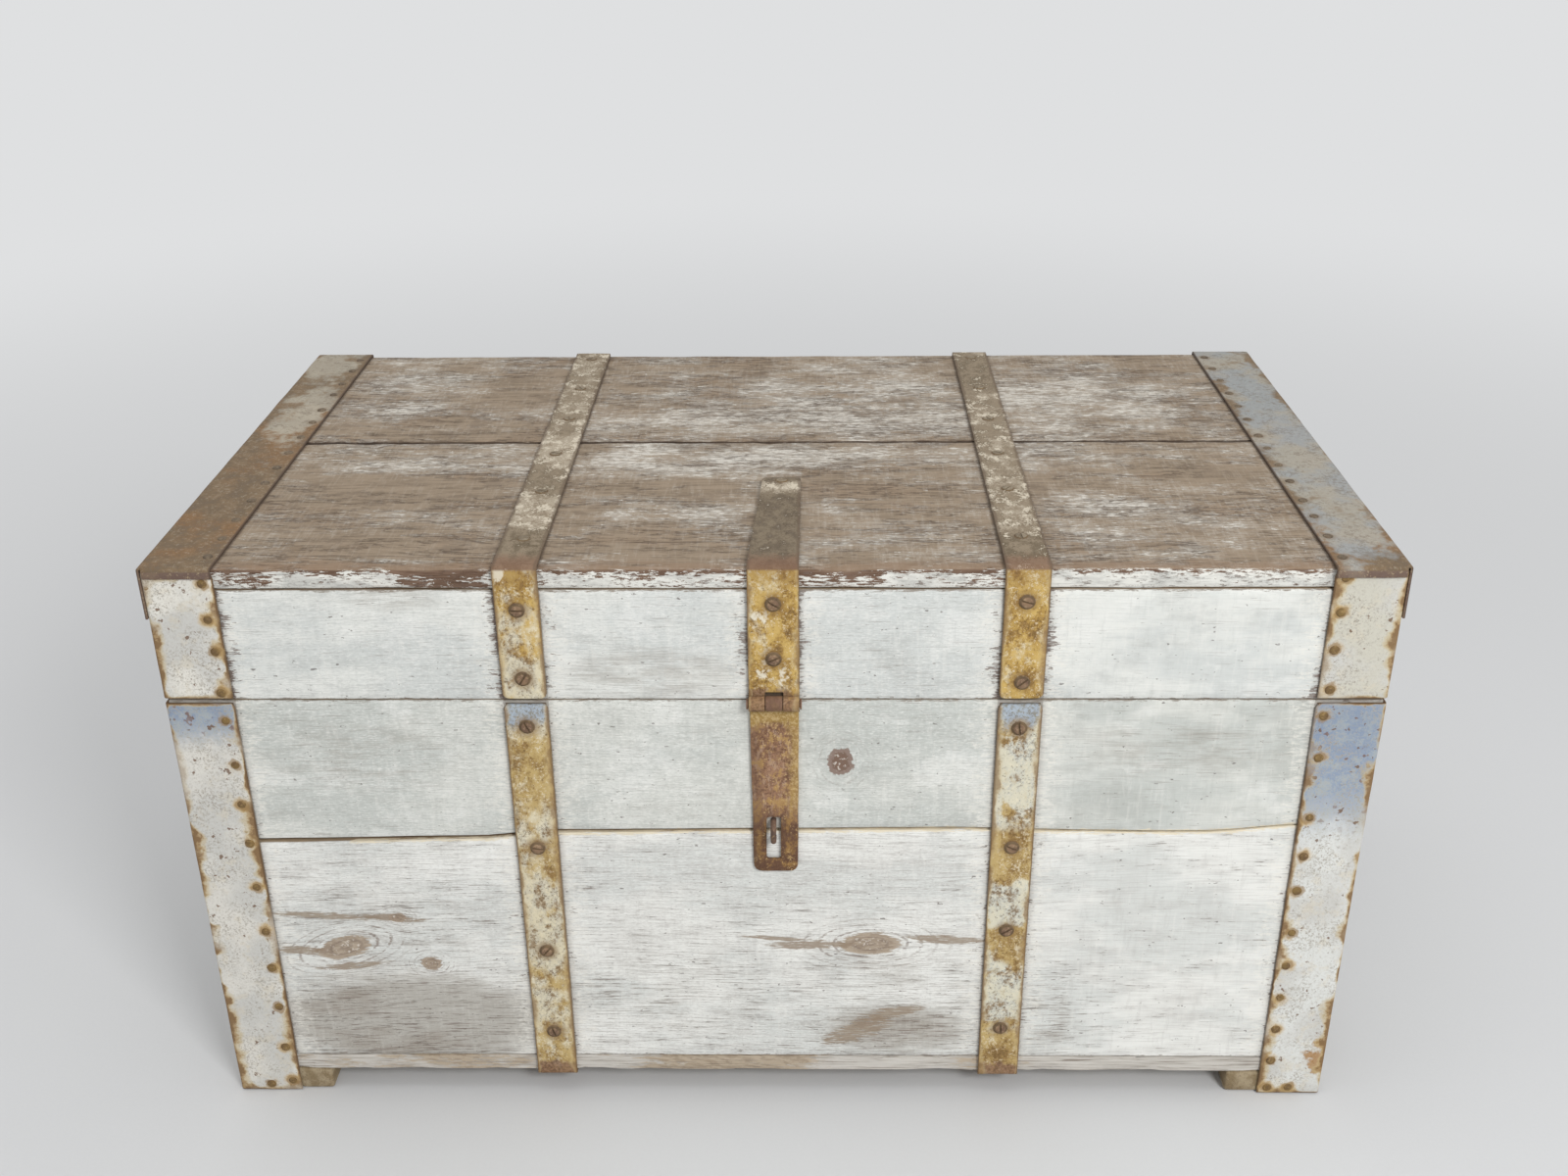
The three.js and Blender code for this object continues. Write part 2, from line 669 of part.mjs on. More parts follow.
function haspPlate() {
  const footZ = hingeZ - haspLength;
  const section = foldedStrip(new THREE.Vector2(-strapY, footZ), quarterTurn, strapThickness, [
    { run: haspLength },
    { turn: rollSweep, radius: rollMiddle },
  ]);
  const headZ = hingeZ + rollOutside + cutOverrun;
  const half = haspWidth / 2;
  const footHalf = haspFootWidth / 2;
  const outline = new THREE.Shape();
  outline.moveTo(footHalf - haspCorner, footZ);
  outline.quadraticCurveTo(footHalf, footZ, footHalf, footZ + haspCorner);
  outline.lineTo(half, headZ);
  outline.lineTo(-half, headZ);
  outline.lineTo(-footHalf, footZ + haspCorner);
  outline.quadraticCurveTo(-footHalf, footZ, haspCorner - footHalf, footZ);
  const slot = roundedRectangle(slotWidth, slotHeight, -slotOffset, slotTopZ - slotHeight / 2, slotCorner);
  outline.holes.push(slot);
  const outerY = -hingeY - rollOutside - cutOverrun;
  const outlineSolid = inward(outline, outerY, rollOutside + rollMiddle + strapThickness + 2 * cutOverrun);
  const plate = across(section, -half, haspWidth).intersect(outlineSolid).translate([haspOffset, 0, 0]);
  return without(plate, knuckleWaste(haspOffset, haspWidth, haspTongueWidth, true, -hingeY, true));
}

function addHasp() {
  addPiece(lid, "hasp_strap", haspStrap(), strapIron);
  addPiece(hasp, "hasp", haspPlate(), rustIron);
  addHingePin(lid, "hasp_pin", haspOffset, haspStrapWidth, -hingeY);
}

// Drop handles: a bent bail whose ends turn in the bosses of two plates on the trunk's end
function handlePlate(sign, y) {
  const faceX = sideX + fit;
  const pivotX = faceX + plateThickness + pivotStandoff;
  const outline = roundedRectangle(plateWidth, plateHeight, y, handleHeight, plateCorner);
  const plate = across(outline, faceX, plateThickness);
  const at = (along) => new THREE.Vector3(pivotX, y + along, handleHeight);
  const boss = bar(at(-bossLength / 2), at(bossLength / 2), bossRadius, pinSides);
  const reach = bossLength / 2 + cutOverrun;
  const bore = bar(at(-reach), at(reach), bailRadius + bossClearance, pinSides);
  const eye = plate.add(boss).subtract(bore);
  return sign > 0 ? eye : eye.mirror([1, 0, 0]);
}

function addHandles() {
  for (const [side, sign] of Object.entries(sides)) {
    const pivotX = sign * (sideX + fit + plateThickness + pivotStandoff);
    const handle = addGroup(trunk, pivotX, 0, handleHeight);
    const endY = (handleSpan + bossLength) / 2;
    const legY = (handleSpan - bossLength) / 2 - bailShoulder - bailBend;
    const gripZ = handleHeight - bailDrop;
    const frontHalf = [[-endY, handleHeight], [-legY, handleHeight], [-legY, gripZ]];
    const backHalf = [[legY, gripZ], [legY, handleHeight], [endY, handleHeight]];
    const corners = [...frontHalf, ...backHalf].map(([y, z]) => new THREE.Vector3(pivotX, y, z));
    addPiece(handle, `${side}_handle_bail`, bentRod(corners, bailRadius, bailBend), rustIron);
    addPiece(body, `${side}_handle_front_plate`, handlePlate(sign, -handleSpan / 2), rustIron);
    addPiece(body, `${side}_handle_back_plate`, handlePlate(sign, handleSpan / 2), rustIron);
  }
}

addBottom();
addBodyWalls();
addLidBoards();
addCornerIrons();
addTopIrons();
addStraps();
addHasp();
addStaple();
addHandles();
addScrews();

// The staple stands further out in front than the knuckles do behind, so the trunk moves back by half.
trunk.position.y = (stapleReach - (hingeY + rollOutside - backY)) / 2;

export default trunk;
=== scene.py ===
# The looks of an old storage trunk: chalky paint worn off its pine boards, painted irons that rust at
# their edges, and the nails and screws that hold them. Metres, +Z up, front towards -Y.
import json
import math
import random
from collections import namedtuple
from functools import reduce

import bmesh
import bpy
from mathutils import Matrix, Vector, noise


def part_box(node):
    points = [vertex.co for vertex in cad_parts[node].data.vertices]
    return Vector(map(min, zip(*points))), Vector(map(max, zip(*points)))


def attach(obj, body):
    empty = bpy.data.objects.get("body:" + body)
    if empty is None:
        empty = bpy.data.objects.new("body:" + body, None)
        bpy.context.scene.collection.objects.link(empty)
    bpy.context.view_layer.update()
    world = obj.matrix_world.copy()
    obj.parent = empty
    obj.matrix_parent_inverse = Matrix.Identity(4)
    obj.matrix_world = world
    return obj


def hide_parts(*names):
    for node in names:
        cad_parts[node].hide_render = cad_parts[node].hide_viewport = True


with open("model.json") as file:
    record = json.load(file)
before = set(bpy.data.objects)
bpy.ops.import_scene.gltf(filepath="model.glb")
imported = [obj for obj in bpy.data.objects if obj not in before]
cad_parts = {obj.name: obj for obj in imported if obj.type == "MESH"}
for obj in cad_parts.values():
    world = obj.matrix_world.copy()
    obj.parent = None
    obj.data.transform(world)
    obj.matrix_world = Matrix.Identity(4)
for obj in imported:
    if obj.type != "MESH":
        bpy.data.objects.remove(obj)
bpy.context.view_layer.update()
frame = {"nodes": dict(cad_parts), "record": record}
scene = bpy.context.scene
mm = 0.001
sides = {"left": -1, "right": 1}
body_of = {node: body for body, nodes in frame["record"]["behaviour"]["bodies"].items() for node in nodes}
slot_of = {part["node"]: part["material_slot"] for part in frame["record"]["subparts"]}

# Places that the looks follow, read from the solids
board_low, board_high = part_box("body_front_lower_board")
front_y = board_low.y
back_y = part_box("body_back_lower_board")[1].y
end_x = board_high.x
body_top_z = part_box("body_front_upper_board")[1].z
rail_low, rail_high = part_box("lid_front_rail")
parting_z = (body_top_z + rail_low.z) / 2
lid_top_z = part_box("lid_top_front_board")[1].z
iron_low, iron_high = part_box("body_front_left_iron")
seam_y = (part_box("lid_top_front_board")[1].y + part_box("lid_top_back_board")[0].y) / 2
hasp_low, hasp_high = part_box("hasp")


# Camera, at the height and distance from which the trunk was photographed
image_width = 1600
focal_pixels = 1676.27
sensor_width = 36
camera_offset = Vector((30.65 * mm, -1164.52 * mm, 1090.06 * mm))
camera_heading = math.radians(1.001)
camera_pitch = math.radians(26.055)
camera_roll = math.radians(-0.5137)


def add_camera():
    camera = bpy.data.objects.new("camera", bpy.data.cameras.new("camera"))
    camera.data.sensor_width = sensor_width
    camera.data.lens = sensor_width * focal_pixels / image_width
    scene.collection.objects.link(camera)
    turn = Matrix.Rotation(camera_heading, 4, "Z") @ Matrix.Rotation(math.pi / 2 - camera_pitch, 4, "X")
    place = Matrix.Translation(camera_offset + Vector((0, iron_low.y, 0)))
    camera.matrix_world = place @ turn @ Matrix.Rotation(camera_roll, 4, "Z")
    scene.camera = camera


# Shader maths
class Value:
    """A socket's output, so that shader maths reads as arithmetic."""

    def __init__(self, tree, socket):
        self.tree = tree
        self.socket = socket

    def joined(self, operation, *others):
        return self.tree.node("ShaderNodeMath", dict(enumerate((self, *others))), operation=operation)

    def __add__(self, other):
        return self.joined("ADD", other)

    def __sub__(self, other):
        return self.joined("SUBTRACT", other)

    def __rsub__(self, other):
        return self.tree.node("ShaderNodeMath", {0: other, 1: self}, operation="SUBTRACT")

    def __mul__(self, other):
        return self.joined("MULTIPLY", other)

    def __truediv__(self, other):
        return self.joined("DIVIDE", other)

    def __abs__(self):
        return self.joined("ABSOLUTE")

    __radd__ = __add__
    __rmul__ = __mul__

    def least(self, other):
        return self.joined("MINIMUM", other)

    def most(self, other):
        return self.joined("MAXIMUM", other)

    def root(self):
        return self.joined("SQRT")

    def sine(self):
        return self.joined("SINE")

    def frayed(self, noise, reach):
        """A distance made uneven by a noise, over that reach in mm."""
        return self + (noise - 0.5) * reach * mm


def linear(code):
    """An sRGB colour code as the linear colour that a shader takes."""
    shares = [int(code[i : i + 2], 16) / 255 for i in (1, 3, 5)]
    return (*[s / 12.92 if s <= 0.04045 else ((s + 0.055) / 1.055) ** 2.4 for s in shares], 1)


class Tree:
    """A node tree, whose nodes all come from one method."""

    def __init__(self, tree):
        self.nodes = tree.nodes
        self.links = tree.links
        self.nodes.clear()

    def node(self, kind, sockets=None, output=0, **settings):
        made = self.nodes.new(kind)
        for key, setting in settings.items():
            setattr(made, key, setting)
        for key, value in (sockets or {}).items():
            if isinstance(value, Value):
                self.links.new(value.socket, made.inputs[key])
            else:
                made.inputs[key].default_value = value
        return Value(self, made.outputs[output]) if made.outputs else None

    def seen_rays(self):
        """1 for the rays that show the backdrop: the camera's, and those in gloss and glass."""
        camera_ray = self.node("ShaderNodeLightPath", output="Is Camera Ray")
        outputs = camera_ray.socket.node.outputs
        others = [Value(self, outputs[kind]) for kind in ("Is Glossy Ray", "Is Transmission Ray")]
        return reduce(Value.most, others, camera_ray)


class Surface(Tree):
    """A material whose patterns are placed in the trunk's frame, and whose colour is laid on in coats.

    Its grain runs along one axis. Shift sets its patterns apart from another board's.
    """

    def __init__(self, name, grain=0, shift=0):
        self.material = bpy.data.materials.new(name)
        self.material.use_nodes = True
        super().__init__(self.material.node_tree)
        self.grain = grain
        self.shift = shift
        self.colour = None
        self.place = self.node("ShaderNodeTexCoord", output="Object")
        split = self.node("ShaderNodeSeparateXYZ", {0: self.place}).socket.node
        self.axes = [Value(self, socket) for socket in split.outputs]
        self.x, self.y, self.z = self.axes

    def rise(self, value, low, high):
        """0 up to low and 1 from high on, or the other way round where low is the greater."""
        sockets = {"Value": value, "From Min": low, "From Max": high}
        return self.node("ShaderNodeMapRange", sockets, interpolation_type="SMOOTHSTEP")

    def cloud(self, size, detail=3, roughness=0.55, shift=0, at=None):
        """Noise about a half, in patches of that size in mm, which is one number or one for each axis."""
        sizes = (size,) * 3 if isinstance(size, (int, float)) else size
        scale = tuple(1 / (length * mm) for length in sizes)
        sockets = {0: at or self.place, 1: scale, 2: (self.shift + shift,) * 3}
        place = self.node("ShaderNodeVectorMath", sockets, operation="MULTIPLY_ADD")
        sockets = {"Vector": place, "Scale": 1, "Detail": detail, "Roughness": roughness}
        return self.node("ShaderNodeTexNoise", sockets)

    def streaks(self, length, width, detail=4, roughness=0.6, shift=0, at=None):
        """Noise drawn out along the grain."""
        sizes = [width] * 3
        sizes[self.grain] = length
        return self.cloud(tuple(sizes), detail, roughness, shift, at)

    def tint(self, share, under, over):
        """One colour laid over another by a share that may vary over the surface."""
        under, over = (linear(c) if isinstance(c, str) else c for c in (under, over))
        return self.node("ShaderNodeMix", {0: share, 6: under, 7: over}, output=2, data_type="RGBA")

    def between(self, value, low, high, under, over):
        """One colour where a value is low, which passes into another where it is high."""
        return self.tint(self.rise(value, low, high), under, over)

    def lay(self, share, over):
        """Lays a colour over what is there."""
        self.colour = self.tint(share, self.colour, over)

    def stain(self, value, low, high, share, over):
        """Lays a colour by that share where a value rises from low to high."""
        self.lay(self.rise(value, low, high) * share, over)

    def nearest(self, places):
        """The distance to the nearest of several places."""
        sockets = [{0: self.place, 1: place} for place in places]
        gaps = [self.node("ShaderNodeVectorMath", s, output="Value", operation="DISTANCE") for s in sockets]
        return reduce(Value.least, gaps)

    def gap_beside(self, axis, spans):
        """The distance along one axis to the nearest of several pieces that lie across it."""
        return reduce(Value.least, [abs(self.axes[axis] - middle) - half for middle, half in spans])

    def coat(self, colour, roughness, height, relief):
        """The shader of a dull surface. Its height goes from 0 to 1, and relief is how far that is."""
        bump = self.node("ShaderNodeBump", {"Height": height, "Distance": relief, "Strength": 1})
        sockets = {
            "Base Color": colour,
            "Roughness": roughness,
            "Specular IOR Level": 0.3,
            "Normal": bump,
        }
        return self.node("ShaderNodeBsdfPrincipled", sockets)

    def finish(self, roughness, height, relief):
        shader = self.coat(self.colour, roughness, height, relief)
        self.node("ShaderNodeOutputMaterial", {"Surface": shader})
        return self.material


def spans(axis, *nodes):
    """The middle and half width of each node along one axis."""
    boxes = [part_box(node) for node in nodes]
    return [((low[axis] + high[axis]) / 2, (high[axis] - low[axis]) / 2) for low, high in boxes]


def in_mm(kind, rows, plain=1):
    """Rows of a table whose lengths are written in mm, and whose last few numbers are plain."""
    return [kind(*(length * mm for length in row[:-plain]), *row[-plain:]) for row in rows]


# Pine boards. A knot or smear is an oval along the grain, and rings is how far the grain runs round it.
Oval = namedtuple("Oval", "along level length height tilt rings")
lower_ovals = in_mm(Oval, [
    (83.6, 169.1, 25, 11.5, 0, 1),
    (32, 168, 34, 4, 0.02, 0),
    (2, 175, 26, 2, -0.08, 0),
    (150, 174, 34, 4, -0.06, 0),
    (74, 72, 26, 11, 0.45, 0),
    (104, 92, 24, 6, 0.2, 0),
    (-382.5, 164.6, 23, 11.5, 0.25, 1),
    (-425, 161, 20, 4, 0, 0),
    (-375, 144, 28, 3.4, 0.1, 0),
    (-400, 199, 40, 3.6, -0.05, 0),
    (-340, 197, 24, 3.2, -0.1, 0),
    (-332.6, 197, 7, 5, 0, 0.85),
    (-307.6, 146.3, 8.5, 6.5, 0, 0.9),
], plain=2)
upper_ovals = in_mm(Oval, [(56.3, 358, 10, 12.5, 0, 0.1)], plain=2)

# A zone is where a coat is more worn, or less so with a share below 0. Across is a level, or a depth on top.
Zone = namedtuple("Zone", "along across length height share")
lower_zones = in_mm(Zone, [
    (-330, 82, 135, 54, 0.17),
    (-345, 180, 110, 60, 0.03),
    (-110, 115, 110, 60, 0.045),
    (110, 120, 90, 60, 0.05),
    (110, 68, 80, 30, 0.09),
    (245, 90, 30, 50, 0.06),
    (330, 90, 110, 30, -0.02),
    (300, 190, 130, 70, -0.12),
    (0, 250, 300, 40, -0.12),
    (350, 210, 110, 60, -0.1),
    (400, 110, 80, 60, -0.08),
])
upper_zones = in_mm(Zone, [
    (-340, 360, 110, 50, 0.04),
    (-80, 320, 60, 20, 0.035),
    (330, 370, 110, 35, 0.05),
])
rail_zones = in_mm(Zone, [
    (-300, 510, 50, 12, 0.07),
    (-100, 440, 100, 30, 0.07),
    (350, 470, 110, 50, -0.05),
])
top_front_zones = in_mm(Zone, [
    (-340, 240, 100, 42, -0.06),
    (-330, 160, 120, 45, 0.09),
    (-330, 40, 120, 40, 0.08),
    (-90, 232, 130, 45, -0.10),
    (-100, 165, 80, 22, 0.06),
    (-70, 105, 55, 22, -0.07),
    (-120, 45, 100, 30, 0.06),
    (60, 235, 110, 35, -0.08),
    (110, 165, 90, 35, 0.07),
    (100, 80, 70, 22, -0.03),
    (250, 235, 60, 35, -0.07),
    (370, 200, 60, 28, 0.09),
    (270, 110, 60, 40, -0.06),
    (340, 70, 90, 30, -0.03),
])
top_back_zones = in_mm(Zone, [
    (-330, 310, 110, 20, 0.05),
    (-380, 410, 60, 70, -0.08),
    (-260, 440, 40, 60, 0.04),
    (-110, 330, 90, 35, -0.06),
    (-60, 470, 70, 45, 0.04),
    (70, 390, 190, 110, -0.08),
    (100, 320, 90, 35, -0.05),
    (320, 400, 110, 110, -0.08),
    (380, 480, 60, 35, 0.05),
])


def oval_distance(s, oval, scale=1):
    """1 on the rim of an oval and 0 at its middle."""
    along = s.axes[s.grain] - oval.along
    level = s.z - oval.level - along * oval.tilt
    reach = along / (oval.length * scale)
    rise = level / (oval.height * scale)
    return (reach * reach + rise * rise).root()


def wear_in(s, zones, across, ragged):
    """How much more worn each place is for the zones that it lies in."""
    wear = 0
    for zone in zones:
        reach = (s.x - zone.along) / zone.length
        rise = (across - zone.across) / zone.height
        distance = (reach * reach + rise * rise).root() + (ragged - 0.5) * 1.6
        wear = s.rise(distance, 1.35, 0.45) * zone.share + wear
    return wear


def grain_place(s, ovals, sway):
    """Each place with its level drawn aside, so that the grain sways and runs round the knots."""
    level = s.z.frayed(sway, 26)
    for oval in ovals:
        if oval.rings:
            round_knot = s.rise(oval_distance(s, oval, 3.2), 1, 0.1) * (0.3 + 0.36 * oval.rings)
            level = level - (s.z - oval.level) * round_knot
    return s.node("ShaderNodeCombineXYZ", {0: s.x, 1: s.y, 2: level})


def add_oval(s, oval, ragged, fine):
    """A bare brown knot with fine rings round it, or a smear where the paint is worn off.

    Gives back where the wood is bare.
    """
    distance = oval_distance(s, oval)
    raggedness = 4.2
    if oval.rings:
        raggedness = 1.1 if oval.height > oval.length else 3 - 1.2 * oval.rings
    rough_distance = distance + (ragged - 0.5) * raggedness
    if not oval.rings:
        inside = s.rise(rough_distance, 1.25, 0.8) * s.rise(fine, 0.66, 0.56)
        s.lay(inside * 0.85, s.between(ragged, 0.42, 0.58, "#8e7c69", "#9f917f"))
        return inside
    inside = s.rise(rough_distance, 1.1, 0.97)
    brown = s.between(fine, 0.4, 0.6, "#ac9c89", "#948371")
    s.lay(inside * 0.95, s.tint(1 - oval.rings, brown, "#6d4f40"))
    rings = s.rise((distance * 13 + ragged * 12).sine(), 0.5, 0.9)
    s.lay(rings * inside * 0.45, "#75665b")
    rim = s.rise(rough_distance, 0.68, 0.8) * inside * (1 - oval.rings)
    s.lay(rim * 0.7, "#93837a")
    flecks = s.rise(s.cloud(2.6, 3, shift=4 - s.shift), 0.58, 0.61) * s.rise(rough_distance, 0.9, 0.5)
    s.lay(flecks * 0.65, "#ddd6cc")
    around = s.rise(distance, 3.4, 1.8) * s.rise(distance, 1.05, 1.25)
    arcs = s.rise((distance * 12 + ragged * 9).sine(), 0.72, 0.9) * around * s.rise(ragged, 0.46, 0.54)
    s.lay(arcs * (0.2 + 0.6 * oval.rings), "#8d8178")
    return inside


# A coat's colours, how much wear bares the wood, where grooves start, how ragged it is beside irons, and
# how strongly the grain shows through it
Coat = namedtuple("Coat", "light cool grey bare lines comb grain_share")
lid_coat = Coat("#dfe0db", "#ced1ce", "#b2b4b0", 0.68, 0.665, 0.2, 0.55)
upper_coat = Coat("#d4d5cf", "#c3c6c1", "#a9aba5", 0.68, 0.68, 0.08, 0.55)
lower_coat = Coat("#e5e5e0", "#d4d6d2", "#aeaaa5", 0.635, 0.6, 0.11, 1)
end_coat = Coat("#d8d7d1", "#c9cac7", "#aaa69f", 0.64, 0.635, 0.13, 0.8)
# A band of another colour along a board's edge. Inside is how deep into the joint it goes on.
Edge = namedtuple("Edge", "level slope reach inside left_end colour")
# A painted face: the axis across it, the way out along that axis, and where it lies
Face = namedtuple("Face", "axis sign plane")


def pine_colour(s, pale="#b29d82", dark="#8f7a62"):
    """Unpainted pine, brown with age, in long soft bands with fine darker lines."""
    long_band = s.streaks(380, 9, 4, 0.6, shift=21)
    line = s.streaks(150, 1.6, 3, shift=22)
    stain = s.streaks(260, 120, 4, shift=23)
    colour = s.between(long_band, 0.38, 0.64, pale, dark)
    colour = s.tint(s.rise(line, 0.5, 0.68) * 0.5, colour, "#6d5a46")
    return s.tint(s.rise(stain, 0.48, 0.68) * 0.4, colour, "#7d6b58")


# Where the seam in the front wanders from a straight line: from one place to another along it, and how far
seam_sag = -1 * mm
seam_steps = [
    (-185 * mm, -255 * mm, -5.5 * mm),
    (-255 * mm, -440 * mm, -2 * mm),
    (150 * mm, 260 * mm, -3.5 * mm),
    (260 * mm, 330 * mm, -1.5 * mm),
    (365 * mm, 450 * mm, 6 * mm),
]


def seam_wander(along):
    """How far the seam lies off its straight line, at a place along it."""
    wander = seam_sag
    for start, end, step in seam_steps:
        share = min(max((along - start) / (end - start), 0), 1)
        wander += step * share * share * (3 - 2 * share)
    return wander


def painted_pine(name, face, coat, irons, edges=(), ovals=(), zones=(), shift=0, ghost=None):
    """Chalky paint on a board's outer face, chipped beside the irons and along the board's edges.

    Ghost is the span of a moving iron that has left a rust print on the paint, and behind whose knuckle the
    board is painted dark as shade.
    """
    axis, sign, plane = face
    grain = 1 - axis
    s = Surface(name, grain, shift)
    sway = s.streaks(420, 160, 1)
    at = grain_place(s, ovals, sway)
    fibre = s.streaks(44, 1.2, 3, 0.65, at=at)
    dash = s.streaks(14, 1.3, 3, 0.7, at=at, shift=5)
    grit = s.streaks(4, 1.1, 2, 0.7, at=at, shift=15)
    crisp = s.rise(s.x, 330 * mm, 130 * mm)
    band = s.streaks(48, 12, 6, 0.72, at=at)
    drift = s.streaks(140, 70, 4)
    brush = s.streaks(4, 28, 4, 0.7)

    s.colour = s.between(drift, 0.42, 0.58, coat.light, coat.cool)
    s.stain(band, 0.46, 0.66, 0.28 * coat.grain_share, coat.grey)
    smudge = s.streaks(80, 46, 6, 0.65, shift=14)
    s.stain(smudge, 0.51, 0.64, 0.75 - 0.62 * coat.grain_share, coat.grey)
    s.stain(smudge, 0.46, 0.36, 0.4, "#ecece8")
    s.lay(s.rise(fibre, 0.48, 0.62) * (crisp + 1) * (0.28 * coat.grain_share), coat.grey)
    s.lay(s.rise(dash, 0.54, 0.66) * (crisp + 1) * (0.2 * coat.grain_share), "#f1f0ec")
    s.lay(s.rise(grit, 0.52, 0.66) * crisp * 0.35, coat.grey)
    s.lay(s.rise(grit, 0.46, 0.34) * crisp * 0.35, "#f1f0ec")
    s.stain(brush, 0.52, 0.68, 0.2, "#eceae4")
    s.stain(brush, 0.46, 0.34, 0.16, coat.grey)
    wear = wear_in(s, zones, s.z, band)
    haze = s.rise((band - 0.5) * 0.25 + (fibre - 0.5) * 0.12 + wear, 0.02, 0.15)
    s.lay(haze * 0.78, s.between(drift, 0.44, 0.58, "#a49f96", "#958b7f"))
    s.lay(haze * s.rise(brush * 0.5 + dash * 0.5, 0.5, 0.6) * 0.4, "#c9c7c0")
    wear = (drift - 0.5) * 0.2 + wear * 0.45
    rubbed = s.rise(band * 0.5 + dash * 0.5 + wear, coat.bare, coat.bare + 0.05)
    s.lay(rubbed * 0.6, s.between(fibre, 0.42, 0.58, "#a59d94", "#8c8278"))
    grooves = fibre * 0.5 + dash * 0.5 + (band - 0.5) * 0.25 + wear * 0.5
    grooves = s.rise(grooves, coat.lines, coat.lines + 0.02)
    s.lay(grooves * 0.75, "#7f7369")
    hairlines = s.streaks(34, 0.9, 2, at=at, shift=16)
    hairlines = s.rise(hairlines + wear * 0.8, 0.645, 0.665) * coat.grain_share
    s.lay(hairlines * 0.75, "#7d7067")

    gap = s.gap_beside(grain, irons)
    flakes = s.streaks(8, 1.5, 4, 0.7)
    lumps = s.cloud(8, 4, 0.65)
    chipped = s.rise(s.cloud(34, 3, shift=12), 0.42, 0.6) * 0.6 + 0.4
    beside = s.rise(gap.frayed(lumps, 60), 24 * mm, 4 * mm)
    s.lay(beside * s.rise(flakes, 0.44, 0.56) * 0.55, "#ece9e0")
    near = s.rise(gap.frayed(lumps, 30), 20 * mm, 0) * chipped * coat.comb
    comb = s.rise(dash * 0.5 + flakes * 0.5 + near, 0.67, 0.69)
    s.lay(comb * 0.8, "#73625a")
    near = s.rise(gap, 7 * mm, 0) * chipped * coat.comb
    clumps = s.rise(lumps * 0.4 + flakes * 0.6 + near, 0.66, 0.68)
    s.lay(clumps * 0.85, "#64524a")
    # A grey band beside the irons is painted shade, with some dirt
    s.stain(gap, 7 * mm, 0, 0.25, "#8c857e")
    # A thin dark line at the irons' edges is part painted contact shadow, part dirt
    s.stain(gap.frayed(flakes, 3), 0.9 * mm, 0.3 * mm, 0.45, "#64564a")
    # Under the irons the board is painted dark brown: painted shade for the gaps beside them, and grimy wood,
    # but not near the parting line
    under_iron_shade = s.rise(gap, -0.6 * mm, -2 * mm) * s.rise(abs(s.z - parting_z), 2.4 * mm, 3.2 * mm)
    s.lay(under_iron_shade, "#6a5b4c")

    if ghost:
        print_gap = s.gap_beside(grain, ghost).frayed(lumps, 6)
        s.stain(print_gap, 0, -5 * mm, 0.4, "#93806f")
        # Behind the knuckle the print is painted dark: painted shade that shows through the knuckle's gaps
        knuckle_gap_shade = s.rise(s.z, body_top_z - 13 * mm, body_top_z - 9 * mm)
        s.lay(s.rise(print_gap, 1 * mm, -2 * mm) * knuckle_gap_shade * 0.8, "#54443a")

    dents = s.rise(s.streaks(7, 3.2, 2, shift=9), 0.705, 0.73)
    s.lay(dents * 0.75, "#655d58")
    bare = rubbed * 0.3 + grooves + comb.most(clumps)
    for oval in ovals:
        upright = oval.height > oval.length
        bare = bare + add_oval(s, oval, lumps if upright else band * 0.4 + dash * 0.6, dash) * 0.5

    depth = (plane - s.axes[axis]) * sign
    s.lay(s.rise(depth, 1.2 * mm, 2.6 * mm), pine_colour(s))
    for edge in edges:
        level = s.axes[grain] * edge.slope + edge.level
        if edge.left_end:
            level = sum((s.rise(s.x, start, end) * step for start, end, step in seam_steps), level + seam_sag)
        rim = abs(s.z - level).frayed(flakes, 9)
        share = s.rise(rim, edge.reach + 0.8 * mm, edge.reach) * s.rise(band * 0.4 + dash * 0.6, 0.42, 0.5)
        share = share * s.rise(depth, edge.inside + 1 * mm, edge.inside)
        if edge.left_end:
            share = share * s.rise(s.x.frayed(band, 60), edge.left_end, edge.left_end + 8 * mm)
        s.lay(share * 0.9, edge.colour)
    height = fibre * 0.25 + brush * 0.15 + dash * 0.2 - bare * 0.45
    return s.finish(0.84 + fibre * 0.1, height, 0.4 * mm)


# Where the lid's front edge has lost most of its paint: middle, half length and share
edge_zones = [
    (-262, 45, 0.12),
    (-420, 25, 0.05),
    (-60, 50, 0.02),
    (45, 45, 0.06),
    (160, 50, 0.03),
    (300, 130, -0.03),
]


